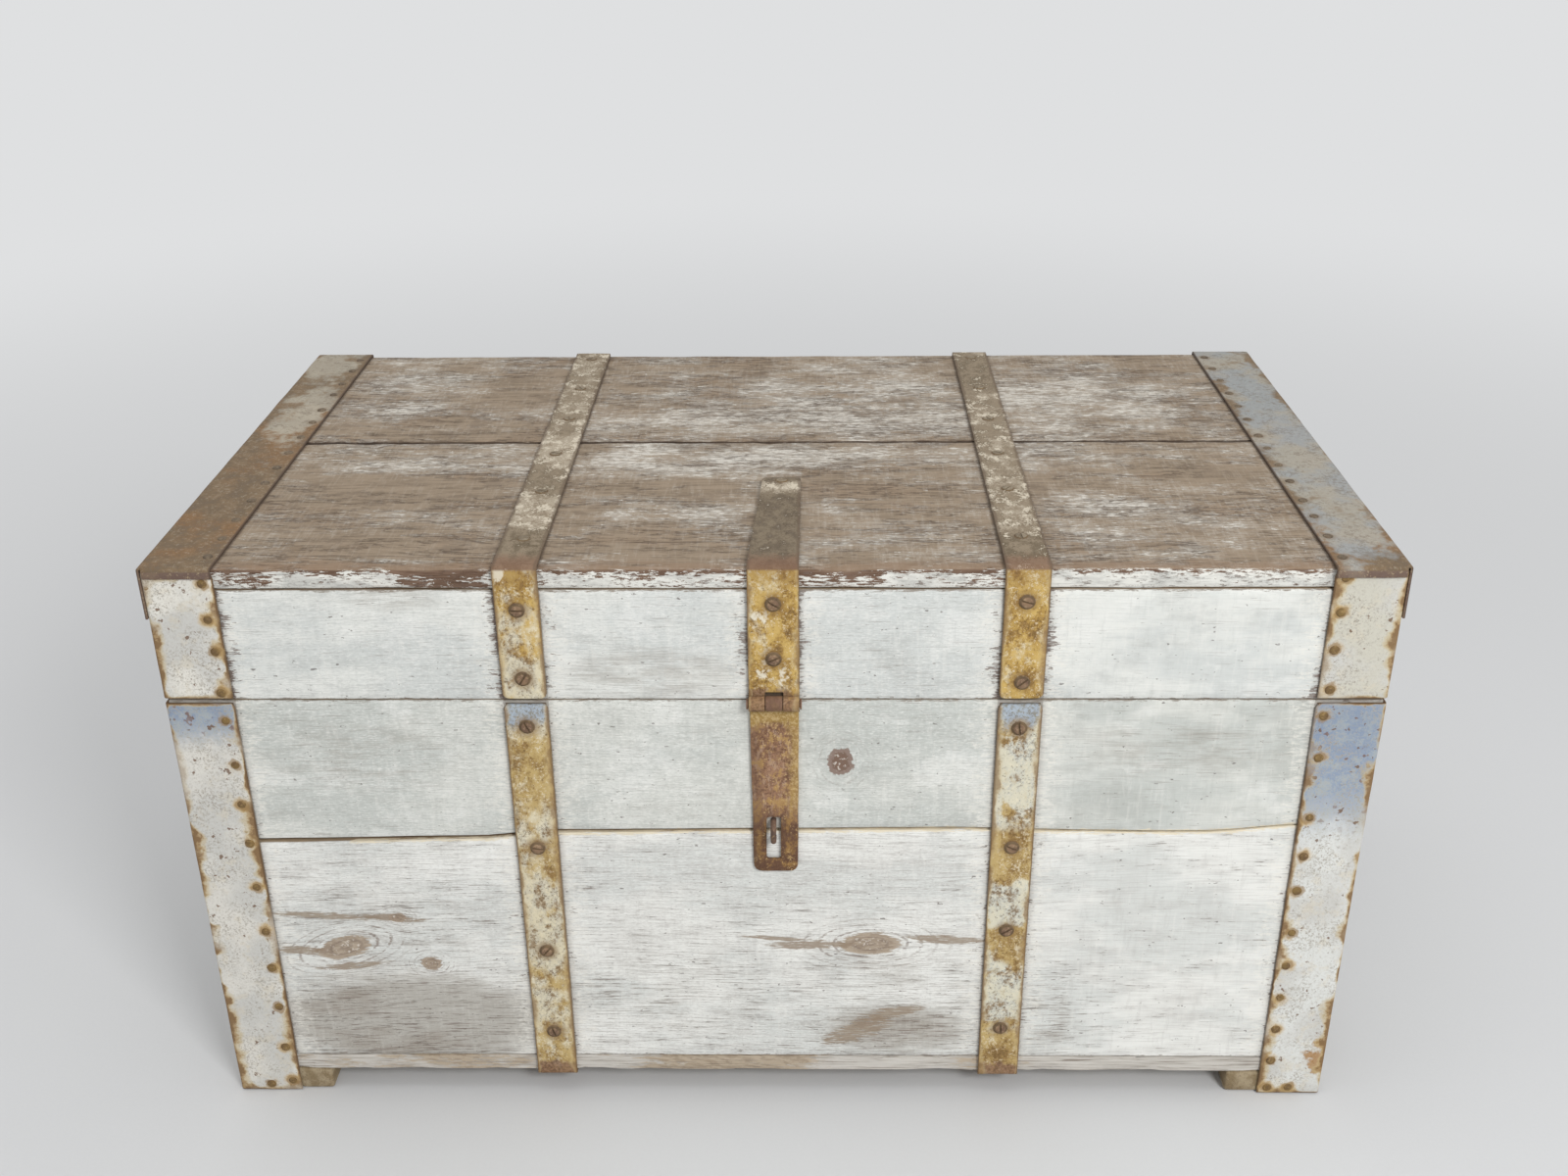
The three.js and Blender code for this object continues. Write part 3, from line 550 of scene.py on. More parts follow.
def worn_top(name, irons, zones, shift=0):
    """Paint rubbed down to the taupe wood, in pale patches, over a front edge of flaking white."""
    s = Surface(name, 0, shift)
    depth = s.y - front_y
    sway = s.streaks(420, 160, 1)
    at = s.node("ShaderNodeCombineXYZ", {0: s.x, 1: s.y.frayed(sway, 30), 2: s.z})
    fibre = s.streaks(46, 1.5, 3, at=at)
    dash = s.streaks(12, 1.8, 4, 0.7, at=at, shift=5)
    band = s.streaks(36, 9, 6, 0.7, at=at)
    patch = s.streaks(72, 38, 9, 0.7, shift=5)
    flake = s.streaks(8, 2.6, 4, 0.7, shift=11)
    brush = s.streaks(3, 30, 4, 0.7)
    tone = s.streaks(160, 60, 3, shift=8)
    wood = s.between(fibre * 0.4 + band * 0.6, 0.4, 0.6, "#958572", "#80715f")
    wood = s.tint(s.rise(tone, 0.5, 0.62) * 0.3, wood, "#8a745e")
    wood = s.tint(s.rise(brush, 0.5, 0.66) * 0.3, wood, "#a59a8c")
    wear = wear_in(s, zones, depth, band)
    cover = patch * 0.6 + band * 0.2 + dash * 0.2 - wear
    thin = s.rise(cover + (brush - 0.5) * 0.16 + (dash - 0.5) * 0.22, 0.475, 0.545)
    s.colour = s.tint(thin * 0.5, wood, s.between(tone, 0.42, 0.6, "#b4aa9d", "#a7a29a"))
    thick = s.rise(cover + (flake - 0.5) * 0.4 + (brush - 0.5) * 0.1, 0.56, 0.58)
    s.lay(thick * 0.48, s.between(brush, 0.4, 0.6, "#cbc5ba", "#b5b0a7"))
    flecks = s.rise(flake * 0.45 + cover * 0.55, 0.57, 0.58)
    s.lay(flecks * 0.8, "#d3cfc6")
    lines = s.rise(fibre * 0.6 + dash * 0.4 - wear * 0.45, 0.58, 0.61)
    s.lay(lines * 0.55, "#695b4e")
    grime = s.cloud((34, 18, 18), 6, 0.72, shift=2)
    s.stain(grime, 0.54, 0.62, 0.45, "#6f6153")
    wander = s.streaks(34, 6, 4, 0.6, at=at, shift=3)
    cracks = s.rise(abs(wander - 0.5), 0.03, 0.015) * s.rise(tone * 0.5 + band * 0.5, 0.48, 0.54)
    split = s.rise(s.streaks(120, 2.4, 3, at=at, shift=7), 0.64, 0.66)
    split = (split * s.rise(tone * 0.5 + patch * 0.5, 0.46, 0.54)).most(cracks)
    s.lay(split * 0.65, "#5b4c40")

    gap = s.gap_beside(0, irons)
    # A dark line at the irons' edges is part painted contact shadow, part dirt
    s.stain(gap.frayed(dash, 6), 2.2 * mm, 0.6 * mm, 0.6, "#5f5044")
    seam = abs(s.y - seam_y).frayed(dash, 3)
    s.lay(s.rise(seam, 7 * mm, 2 * mm) * s.rise(band, 0.45, 0.55) * 0.5, "#6a5a4b")
    s.stain(seam, 1.8 * mm, 1.1 * mm, 0.85, "#463930")
    s.stain(depth.frayed(band, 50), 20 * mm, 3 * mm, 0.5, "#846b56")

    drop = lid_top_z - s.z
    flaking = s.streaks(11, 2, 5, 0.75)
    sound = flaking * 0.7 + band * 0.3 + s.rise(drop, 1 * mm, 8 * mm) * 0.1
    for middle, half, share in edge_zones:
        reach = abs(s.x - middle * mm).frayed(band, 70)
        sound = sound - s.rise(reach, half * mm, half * 0.5 * mm) * share
    white = s.rise(sound, 0.53, 0.54)
    edge = s.between(fibre, 0.3, 0.7, "#5e4839", "#7f6858")
    edge = s.tint(white, edge, s.between(band, 0.45, 0.6, "#e0dfd8", "#cac9c3"))
    edge = s.tint(s.rise(dash * 0.5 + flake * 0.5, 0.56, 0.58) * 0.7, edge, "#6f5f55")
    rim = s.rise(depth, 1.6 * mm, 0.8 * mm)
    lip = s.rise(depth.frayed(flaking, 12), 2.6 * mm, 1.6 * mm) * s.rise(sound, 0.5, 0.52)
    s.lay(lip * 0.8, "#d3d0c8")
    s.lay(rim, edge)
    underneath = s.rise(drop, 15 * mm, 16 * mm) * s.rise(depth, 2 * mm, 3 * mm)
    s.lay(underneath, pine_colour(s))
    height = fibre * 0.35 + thick * 0.25 + band * 0.3 + dash * 0.2 - split * 0.8
    return s.finish(0.82 + fibre * 0.12, height, 0.45 * mm)


# Where the lowest board has lost its paint, and where it has kept it
bottom_zones = [
    Zone(along * mm, board_low.z, reach * mm, 60 * mm, share)
    for along, reach, share in ((-35, 95, 0.12), (-300, 60, 0.02), (-170, 45, -0.08), (110, 60, -0.1),
                                (340, 130, -0.08))
]


def bare_pine(name, grain, shift=0, painted=False, pale="#c0b4a2", dark="#a09079"):
    """Pine grey with age, with rubbed paint on its front edge where it was painted."""
    s = Surface(name, grain, shift)
    fibre = s.streaks(50, 1.4, 4)
    patch = s.streaks(120, 50, 3)
    s.colour = pine_colour(s, pale, dark)
    if painted:
        band = s.streaks(30, 8, 5, 0.7, shift=2)
        figure = ((s.x * 0.3 + s.z + band * 30 * mm) / (1.1 * mm)).sine()
        front = s.rise(s.y, front_y + 6 * mm, front_y + 4 * mm)
        brown = s.tint(s.rise(figure, 0.1, 0.8) * 0.7, "#b5a692", "#968673")
        s.lay(front * 0.85, brown)
        sound = patch * 0.4 + fibre * 0.35 + band * 0.25 - wear_in(s, bottom_zones, s.z, band)
        sound = sound + (figure + 1) * 0.012
        paint = s.between(fibre, 0.42, 0.6, "#cfccc6", "#b6b2ab")
        s.lay(s.rise(sound, 0.47, 0.52) * front * 0.85, paint)
        s.lay(s.rise(fibre, 0.57, 0.62) * front * 0.6, "#74675b")
    return s.finish(0.9, fibre, 0.4 * mm)


# Painted sheet iron
def rust_edge(s, edge, ragged, width, strength):
    """Ochre, brown and then a dark line towards an edge of the sheet, now wide and now narrow."""
    reach = s.rise(s.cloud(34, 2, shift=3), 0.36, 0.66) * width + 1.6 * mm
    closeness = edge / reach + (ragged - 0.5) * 2.2
    s.lay(s.rise(closeness, 1.3, 0.7) * 0.65 * strength, "#bfac82")
    s.lay(s.rise(closeness, 0.8, 0.5) * 0.75 * strength, "#99794c")
    s.lay(s.rise(closeness + (ragged - 0.5), 0.5, 0.3) * 0.7 * strength, "#73573a")
    rim = s.rise(edge.frayed(ragged, 3), 1.4 * mm, 0.6 * mm)
    s.lay(rim * 0.8 * strength, "#624c36")


# How much narrower the rust is where body and lid irons meet than on their other edges
parting_narrowing = 3


def corner_iron(name, low, high, heads, pale, blue, rusted):
    """Pale paint on folded iron, ochre towards its edges and round its nails. Blue is (from, to) levels."""
    s = Surface(name)
    outer = max(abs(low.x), abs(high.x))
    face = min(abs(low.x), abs(high.x))
    front = low.y < 0
    in_x = outer - abs(s.x)
    in_y = s.y - low.y if front else high.y - s.y
    on_side = s.rise(in_y, 1.5 * mm, 3 * mm)
    free = on_side * (high.y - low.y) + (1 - on_side) * (outer - face) - in_x - in_y
    ends = [high.z - s.z, s.z - low.z]
    if low.z < parting_z:
        ends[0] = ends[0] * parting_narrowing
    else:
        ends[1] = ends[1] * parting_narrowing
    edge = reduce(Value.least, [in_x + in_y, free, *ends])
    ragged = s.cloud(13, 5, 0.68)
    fine = s.cloud(1.8, 3, 0.78)
    broad = s.cloud(55, 4)
    s.colour = s.between(broad, 0.4, 0.62, pale, "#c8c7c2")
    s.stain(ragged, 0.5, 0.66, 0.4, "#d3c8b1")
    if blue:
        share = s.rise(s.z.frayed(ragged, 60), *blue)
        mottled = s.between(ragged * 0.6 + fine * 0.4, 0.42, 0.6, "#8292aa", "#a0a9ae")
        deep = s.tint(s.rise(s.z, blue[1], high.z) * 0.45, mottled, "#738399")
        s.lay(share * 0.92, deep)
        specks = s.rise(s.cloud(9, 2, shift=17), 0.65, 0.67) * share
        s.lay(specks * 0.8, "#75584a")
    worn = s.rise(s.cloud(34, 4, shift=4), 0.44, 0.6)
    s.stain(fine, 0.48, 0.6, worn * 0.5 + 0.25, "#aba59a")
    s.lay(s.rise(fine, 0.58, 0.66) * worn * 0.55, "#82776a")
    pits = s.cloud(4, 4, 0.8, shift=20)
    s.stain(pits, 0.6, 0.62, 0.45, "#8d8474")
    s.stain(s.cloud(7, 3, shift=8), 0.67, 0.69, 0.85, "#705540")
    if rusted:
        patch = s.nearest(rusted).frayed(ragged, 70)
        s.stain(patch, 22 * mm, 12 * mm, 0.85, s.tint(fine, "#b98a4c", "#86602f"))
    patchy = s.rise(s.cloud(60, 3, shift=13), 0.38, 0.52) * 0.7 + 0.3
    rust_edge(s, edge, ragged, 9 * mm, patchy)
    gate = s.rise(s.cloud(28, 2, shift=9), 0.4, 0.6)
    halo = s.nearest(heads).frayed(ragged, 14)
    s.lay(s.rise(halo, 10 * mm, 5 * mm) * gate * 0.75, "#c0a472")
    s.stain(halo, 6.5 * mm, 4.5 * mm, 0.7, "#94774e")
    height = fine * 0.4 + ragged * 0.6
    return s.finish(0.74 + fine * 0.2, height, 0.35 * mm)


# How much more paint is left from one share of an iron's length to another, at its front and at its back
Fade = namedtuple("Fade", "start end front_share back_share paint other_paint")


def top_iron(name, low, high, heads, fade):
    """Brown rust with what is left of blue-grey paint."""
    s = Surface(name)
    ragged = s.cloud(20, 6, 0.7)
    fine = s.cloud(3, 3, 0.75)
    broad = s.cloud(70, 3, shift=2)
    rust = s.between(ragged, 0.4, 0.62, "#7d6a53", "#685742")
    rust = s.tint(s.rise(broad, 0.44, 0.6) * 0.55, rust, "#84603b")
    rust = s.tint(s.rise(fine, 0.52, 0.64) * 0.4, rust, "#5a4937")
    rust = s.tint(s.rise(fine, 0.44, 0.34) * 0.2, rust, "#99886f")
    inner = min(abs(low.x), abs(high.x))
    outer = max(abs(low.x), abs(high.x))
    edge = (outer - abs(s.x)).least(abs(s.x) - inner)
    length = high.y - low.y
    along = s.rise(s.y, low.y + length * fade.start, low.y + length * fade.end)
    left = along * (fade.back_share - fade.front_share) + fade.front_share
    cover = ragged * 0.45 + broad * 0.55 + left + s.rise(edge, 0, 14 * mm) * 0.1 - 0.04
    paint = s.between(s.cloud(50, 3, shift=6), 0.42, 0.6, fade.paint, fade.other_paint)
    s.colour = s.tint(s.rise(cover + (fine - 0.5) * 0.1, 0.54, 0.63) * 0.8, rust, paint)
    s.stain(ragged * 0.5 + fine * 0.5, 0.51, 0.58, 0.5, "#75685a")
    s.stain(fine, 0.46, 0.36, 0.18, "#b3b0a6")
    halo = s.nearest(heads).frayed(ragged, 12)
    s.stain(halo, 9 * mm, 4 * mm, 0.45, "#7d6b56")
    below = s.rise(high.z - s.z, 2.2 * mm, 3.4 * mm)
    lip = s.between(ragged, 0.45, 0.6, "#6b5750", "#7c6858")
    lip = s.tint(s.rise(fine, 0.58, 0.64) * 0.6, lip, "#b9a786")
    on_flange = s.rise(abs(s.x), outer - 3 * mm, outer - 1 * mm)
    lip = s.tint(s.rise(cover, 0.5, 0.6) * on_flange * 0.6, lip, paint)
    s.lay(below * 0.85, lip)
    s.stain(edge, 1.6 * mm, 0.5 * mm, 0.8, "#53443a")
    return s.finish(0.74 + fine * 0.2, fine * 0.5 + ragged * 0.5, 0.45 * mm)


# A strap's look: how much of it is gold and not cream, and how much of its top is cream; the levels of its
# blue top and rusty foot; where cream has stayed; its creams; its bare iron on top; and its bands
look_names = "gold_share cream_share blue_from rust_to flakes bands cream other_cream top_pale top_dark"
StrapLook = namedtuple("StrapLook", look_names, defaults=("#d4caae", "#bdb7a6", "#8b7d69", "#6b5e4b"))
# A stretch of a strap that is more golden, or more cream with a share below 0. On top of the lid the level
# is a depth, and the share is how much more cream there is.
Band = namedtuple("Band", "level reach share")
left_bands = in_mm(Band, [
    (352, 34, 0.12),
    (262, 20, 0.05),
    (215, 30, -0.05),
    (175, 26, -0.09),
    (132, 14, 0.08),
    (75, 18, -0.03),
])
right_bands = in_mm(Band, [
    (350, 34, -0.14),
    (266, 26, 0.16),
    (215, 24, -0.14),
    (172, 20, 0.1),
    (110, 26, -0.06),
    (45, 30, 0.12),
])
left_top_bands = in_mm(Band, [
    (30, 40, -0.1),
    (105, 35, 0.04),
    (175, 25, -0.03),
    (250, 40, 0.045),
    (420, 80, 0.01),
])
right_top_bands = in_mm(Band, [
    (30, 30, -0.1),
    (120, 30, 0.005),
    (260, 60, -0.005),
    (470, 60, -0.06),
])
hasp_strap_bands = [Band(160 * mm, 16 * mm, 0.13)]


def strap_iron(name, low, high, heads, look):
    """Ochre and cream over brown rust on the front and back, worn to grey-brown on top of the lid."""
    s = Surface(name)
    edge = (high.x - low.x) / 2 - abs(s.x - (low.x + high.x) / 2)
    ragged = s.cloud((13, 16, 18), 6, 0.72)
    other = s.cloud((16, 20, 22), 6, 0.72, shift=5)
    fine = s.cloud(2.1, 3, 0.8)
    broad = s.cloud((50, 60, 60), 2, shift=1)
    depth = s.y - front_y
    on_top = s.rise(s.z, lid_top_z - 1 * mm, lid_top_z + 1.5 * mm)
    cream = s.between(other, 0.42, 0.6, look.cream, look.other_cream)
    over_lid = high.z > lid_top_z
    pale_gold, dark_gold = ("#c7a864", "#a98746") if over_lid else ("#bda46e", "#9f8350")
    gold = s.between(other, 0.4, 0.58, pale_gold, dark_gold)
    banded = 0
    for band in look.bands:
        reach = abs((depth if over_lid else s.z) - band.level).frayed(ragged, 40)
        banded = s.rise(reach, band.reach * 1.3, band.reach * 0.5) * band.share + banded
    golden = ragged * 0.5 + broad * 0.5 + look.gold_share - 0.5 + (0 if over_lid else banded)
    s.colour = s.between(golden, 0.44, 0.56, cream, gold)
    s.stain(other * 0.7 + ragged * 0.3, 0.53, 0.59, 0.65, "#896b41")
    s.stain(fine * 0.65 + other * 0.35, 0.55, 0.58, 0.7, "#6a5232")
    s.stain(fine * 0.65 + ragged * 0.35, 0.455, 0.425, 0.6, "#e2d9c1")
    pits = s.cloud(5, 4, 0.8, shift=12)
    s.stain(pits, 0.62, 0.64, 0.7, "#5c472f")
    if over_lid:
        under_bend = s.rise(s.z.frayed(ragged, 60), lid_top_z - 24 * mm, lid_top_z - 4 * mm)
        s.lay(under_bend * 0.4, "#7b5c38")
    if look.flakes:
        flake = s.nearest(look.flakes).frayed(ragged, 50)
        s.stain(flake, 10 * mm, 7 * mm, 0.8, "#e2dac6")
    if look.blue_from:
        blue = s.rise(s.z.frayed(ragged, 60), look.blue_from, look.blue_from + 16 * mm)
        s.lay(blue * 0.85, s.between(fine, 0.46, 0.6, "#9faebf", "#83847f"))
    if look.rust_to:
        rusty = s.rise(s.z.frayed(ragged, 30), look.rust_to + 6 * mm, look.rust_to)
        s.lay(rusty * 0.85, s.between(fine, 0.45, 0.6, "#896851", "#62483b"))
    rust_edge(s, edge, ragged, 5 * mm, 0.6)

    left_on = banded + look.cream_share
    bare = s.between(ragged, 0.42, 0.6, look.top_pale, look.top_dark)
    bare = s.tint(s.rise(fine * 0.65 + other * 0.35, 0.535, 0.565) * 0.75, bare, "#534635")
    flaking = other * 0.35 + ragged * 0.35 + fine * 0.3 + left_on
    bare = s.tint(s.rise(flaking, 0.555, 0.575) * 0.65, bare, "#b6aa97")
    bare = s.tint(s.rise(ragged * 0.7 + fine * 0.3 + left_on * 0.6, 0.58, 0.595) * 0.85, bare, "#cdc3b0")
    bend = s.rise(depth.frayed(ragged, 40), 26 * mm, 5 * mm)
    bare = s.tint(bend * 0.6, bare, "#7c5a45")
    bare = s.tint(s.rise(edge.frayed(ragged, 9), 3 * mm, 1 * mm) * 0.6, bare, "#5f4f40")
    ring = s.nearest(heads)
    stain = s.rise(ring.frayed(ragged, 16), 13 * mm, 7 * mm) * 0.55
    s.lay(stain, "#86683f")
    s.lay(on_top, bare)
    s.stain(ring, 7.6 * mm, 6.4 * mm, 0.25, "#5c4a34")
    return s.finish(0.66 + fine * 0.25, fine * 0.5 + ragged * 0.5, 0.4 * mm)


def hasp_iron(name, low, high):
    """Mauve-brown rust with an ochre band near the knuckles and scattered flecks."""
    s = Surface(name)
    ragged = s.cloud((12, 12, 18), 6, 0.72)
    other = s.cloud((9, 9, 13), 6, 0.7, shift=7)
    fine = s.cloud(2.2, 4, 0.8)
    strokes = s.cloud((5, 5, 14), 4, 0.7, shift=3)
    foot = s.rise(s.z, low.z + 76 * mm, low.z + 42 * mm)
    s.colour = s.between(ragged, 0.4, 0.6, "#9c7960", "#7c5b45")
    s.stain(strokes, 0.53, 0.58, 0.6, "#b2967f")
    s.stain(other + (fine - 0.5) * 0.3, 0.52, 0.57, 0.7, "#b08e58")
    s.lay(foot * 0.85, s.between(other, 0.49, 0.6, "#5a3f2d", "#8a683c"))
    s.stain(other * 0.5 + fine * 0.5, 0.47, 0.43, 0.65, "#583e31")
    s.stain(fine * 0.7 + ragged * 0.3, 0.56, 0.59, 0.7, "#c3a574")
    gold = s.between(fine, 0.46, 0.58, "#9d8047", "#bda474")
    left = s.rise((s.x - low.x).frayed(ragged, 24), 13 * mm, 5 * mm)
    s.lay(left * 0.4, "#5c4332")
    right = s.rise((high.x - s.x).frayed(ragged, 40), 12 * mm, 5 * mm)
    right = right * s.rise(s.z, low.z + 50 * mm, low.z + 75 * mm)
    s.lay(right * 0.7, gold)
    knuckle = s.rise(s.z, high.z - 16 * mm, high.z - 12 * mm)
    s.lay(knuckle * 0.85, s.between(fine, 0.45, 0.6, "#765a49", "#5f463a"))
    top = (high.z - s.z).frayed(ragged, 26)
    band = s.rise(top, 9 * mm, 12 * mm) * s.rise(top, 31 * mm, 25 * mm)
    s.lay(band * 0.9, gold)
    patch = s.nearest([Vector((high.x - 15 * mm, low.y, low.z + 74 * mm))]).frayed(ragged, 44)
    s.stain(patch, 8 * mm, 5 * mm, 0.6, "#bda57c")
    return s.finish(0.7 + fine * 0.2, fine * 0.6 + ragged * 0.4, 0.55 * mm)


def rusty_iron(name, brown, dark, speck):
    """Bare iron gone brown."""
    s = Surface(name)
    ragged = s.cloud(9, 5, 0.68)
    fine = s.cloud(2.4, 3, 0.7)
    s.colour = s.between(ragged, 0.4, 0.62, brown, dark)
    s.stain(fine, 0.54, 0.64, 0.6, speck)
    return s.finish(0.7 + fine * 0.2, fine * 0.5 + ragged * 0.5, 0.3 * mm)


# Nails and screws. Heights of the front nails are measured from the floor.
nail_radius = 4 * mm
nail_height = 1.3 * mm
front_nails = {
    ("body", "left"): [399, 356, 317, 277, 231, 183, 143, 99, 52, 12],
    ("body", "right"): [403.6, 363.5, 304.6, 265, 229, 184, 147.6, 112.5, 76, 39.6, 7.6],
    ("lid", "left"): [524.7, 492.7, 463.8, 425.4],
    ("lid", "right"): [528.7, 498.4, 464.7, 428.2],
}
nail_inset = 8.5 * mm
# The nails on an end stand this much lower than those in front, and none so low that it meets the floor
side_nail_drop = 7 * mm
lowest_side_nail = 16 * mm
foot_nail_inset = 28 * mm
foot_nail_level = 8 * mm
room_above_nail = 5 * mm
top_nail_pitch = 37 * mm
flange_nail_drop = 30 * mm
handle_nail_reach = 19 * mm
plate_thickness = 3.3 * mm
screw_radius = 6.6 * mm
screw_rise = 2.4 * mm
top_screw_sink = 1.3 * mm
# Screws on top of the lid, measured from the straps' front faces
strap_front_y = front_y - 2.3 * mm
screw_rows = {
    "left": [53, 153, 242.5, 335, 423, 519],
    "right": [56.6, 156.8, 241.6, 331.5, 422.7, 519.4],
}
tip_screw_x = 6 * mm
tip_screw_y = strap_front_y + 177 * mm
# Screws on the back: how far below a lid strap's top, and in shares of a body strap's height below its top
lid_back_drops = (30, 85)
body_back_shares = (0.14, 0.4, 0.65, 0.88)
back_knuckle_depth = 8.3 * mm
up = Vector((0, 0, 1))
forward = Vector((0, -1, 0))
backward = Vector((0, 1, 0))
Head = namedtuple("Head", "place outward")


def iron_nails(part, end, side):
    """Nails of one corner iron, down the free edge of both its flanges."""
    low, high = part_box(f"{part}_{end}_{side}_iron")
    sign = sides[side]
    front = end == "front"
    face_x = (min(abs(low.x), abs(high.x)) + nail_inset) * sign
    face_y = low.y if front else high.y
    side_y = high.y - nail_inset if front else low.y + nail_inset
    outer_x = sign * max(abs(low.x), abs(high.x))
    toward = forward if front else backward
    heads = []
    shuffle = random.Random(f"{part} {end} {side}")
    for i, level in enumerate(front_nails[part, side]):
        z = level * mm
        if not front:
            z += shuffle.uniform(-6, 6) * mm
        inset = shuffle.uniform(-1, 1) * mm
        heads.append(Head(Vector((face_x + inset, face_y, z)), toward))
        if (i % 2 == 0 or part == "lid") and z > lowest_side_nail:
            outward = Vector((sign, 0, 0))
            heads.append(Head(Vector((outer_x, side_y + inset, z - side_nail_drop)), outward))
    if part == "body":
        foot_x = sign * (abs(face_x) + foot_nail_inset - nail_inset)
        heads.append(Head(Vector((foot_x, face_y, foot_nail_level)), toward))
    return [head for head in heads if head.place.z + room_above_nail < high.z]


def top_iron_nails(side):
    """Nails along the inner edge of an end iron, and fewer down its outer flange."""
    low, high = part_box(f"lid_{side}_top_iron")
    sign = sides[side]
    inner_x = sign * (min(abs(low.x), abs(high.x)) + nail_inset)
    outer_x = sign * max(abs(low.x), abs(high.x))
    shuffle = random.Random(side)
    heads = []
    count = int((high.y - low.y) / top_nail_pitch)
    for i in range(count):
        y = low.y + (i + 0.5) * (high.y - low.y) / count + shuffle.uniform(-4, 4) * mm
        heads.append(Head(Vector((inner_x, y, high.z)), up))
        if i % 2:
            place = Vector((outer_x, y, high.z - flange_nail_drop))
            heads.append(Head(place, Vector((sign, 0, 0))))
    return heads


def add_dome(form, head, radius, height, shuffle):
    """A hammered round head, sunk a little into what it holds."""
    side_count = 14
    turn = head.outward.to_track_quat("Z", "Y").to_matrix()
    rings = []
    for share, rise in ((1, -0.4), (1, 0.2), (0.86, 0.62), (0.5, 0.93)):
        ring = []
        for i in range(side_count):
            angle = 2 * math.pi * i / side_count
            reach = radius * share * shuffle.uniform(0.94, 1.06)
            offset = Vector((reach * math.cos(angle), reach * math.sin(angle), height * rise))
            ring.append(form.verts.new(head.place + turn @ offset))
        rings.append(ring)
    for lower, upper in zip(rings, rings[1:]):
        for i in range(side_count):
            j = (i + 1) % side_count
            form.faces.new((lower[i], lower[j], upper[j], upper[i]))
    form.faces.new(rings[0][::-1])
    crown = form.verts.new(head.place + turn @ Vector((0, 0, height)))
    for i in range(side_count):
        form.faces.new((rings[-1][i], rings[-1][(i + 1) % side_count], crown))


def add_nails(name, heads, finish, body):
    form = bmesh.new()
    shuffle = random.Random(name)
    for head in heads:
        radius = nail_radius * shuffle.uniform(0.88, 1.1)
        add_dome(form, head, radius, nail_height * shuffle.uniform(0.7, 1.15), shuffle)
    add_piece(name, form, finish, body, "rust_iron")


def darken_slot(piece, heads, dark):
    """Gives the faces that lie deep in a screw's slot their own dark finish, painted shade in the slot with
    its grime.
    """
    piece.data.materials.append(dark)
    for face in piece.data.polygons:
        head = min(heads, key=lambda h: (face.center - h.place).length)
        level = (face.center - head.place).dot(head.outward)
        out = (face.center - head.place - head.outward * level).length
        if level < screw_rise - 0.7 * mm and out < screw_radius - 0.6 * mm:
            face.material_index = 1


def add_screws(name, heads, finish, dark, body):
    """Slotted screws with the form of the front ones, each turned its own way."""
    pattern = frame["nodes"]["left_lid_strap_screw_1"].data
    low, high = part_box("left_lid_strap_screw_1")
    strap_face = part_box("left_lid_strap")[0].y
    seat = Vector(((low.x + high.x) / 2, strap_face, (low.z + high.z) / 2))
    form = bmesh.new()
    shuffle = random.Random(name)
    for head in heads:
        copy = bmesh.new()
        copy.from_mesh(pattern)
        turn = head.outward.to_track_quat("Z", "Y").to_matrix().to_4x4()
        spin = Matrix.Rotation(shuffle.uniform(0, math.pi), 4, "Z")
        face_up = Matrix.Rotation(-math.pi / 2, 4, "X")
        settle = Matrix.Translation(head.place) @ turn @ spin @ face_up @ Matrix.Translation(-seat)
        bmesh.ops.transform(copy, matrix=settle, verts=copy.verts)
        joined = bpy.data.meshes.new("screw")
        copy.to_mesh(joined)
        copy.free()
        form.from_mesh(joined)
    ease_edges(form, 0.25 * mm)
    darken_slot(add_piece(name, form, finish, body, "rust_iron"), heads, dark)


# Pieces
crease = math.radians(38)
flat = math.radians(0.5)
weld = 0.005 * mm
# Without this, noise_vector takes its offsets from the clock, and the irons differ in each run
unevenness_seed = 11
noise.seed_set(unevenness_seed)


def add_piece(name, form, finish, body, slot, *stands_for):
    mesh = bpy.data.meshes.new(name)
    form.to_mesh(mesh)
    form.free()
    mesh.materials.append(finish)
    mesh.shade_smooth()
    mesh.set_sharp_from_angle(angle=crease)
    piece = bpy.data.objects.new(name, mesh)
    scene.collection.objects.link(piece)
    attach(piece, body)
    if stands_for:
        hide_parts(*stands_for)
    return piece


def ease_edges(form, easing):
    """Takes the sharpness off every edge."""
    bmesh.ops.remove_doubles(form, verts=form.verts, dist=weld)
    bmesh.ops.dissolve_limit(form, angle_limit=flat, verts=form.verts, edges=form.edges)
    sharp = [edge for edge in form.edges if edge.is_manifold and edge.calc_face_angle(0) > crease]
    width = {"offset": easing, "segments": 2, "profile": 0.5}
    bmesh.ops.bevel(form, geom=sharp, affect="EDGES", clamp_overlap=True, **width)


def add_worn(node, finish, easing=0.5 * mm, pitch=8 * mm, unevenness=0.3 * mm):
    """A finer copy of a solid, with its edges eased and its surface slightly uneven."""
    form = bmesh.new()
    form.from_mesh(frame["nodes"][node].data)
    ease_edges(form, easing)
    if pitch:
        low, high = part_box(node)
        for axis in range(3):
            count = int((high[axis] - low[axis]) / pitch)
            normal = Vector((0, 0, 0))
            normal[axis] = 1
            for i in range(1, count):
                place = Vector((0, 0, 0))
                place[axis] = low[axis] + (high[axis] - low[axis]) * i / count
                geom = [*form.verts, *form.edges, *form.faces]
                bmesh.ops.bisect_plane(form, geom=geom, dist=weld, plane_co=place, plane_no=normal)
        for vertex in form.verts:
            vertex.co += noise.noise_vector(vertex.co / (26 * mm)) * unevenness
    return add_piece(f"worn_{node}", form, finish, body_of[node], slot_of[node], node)


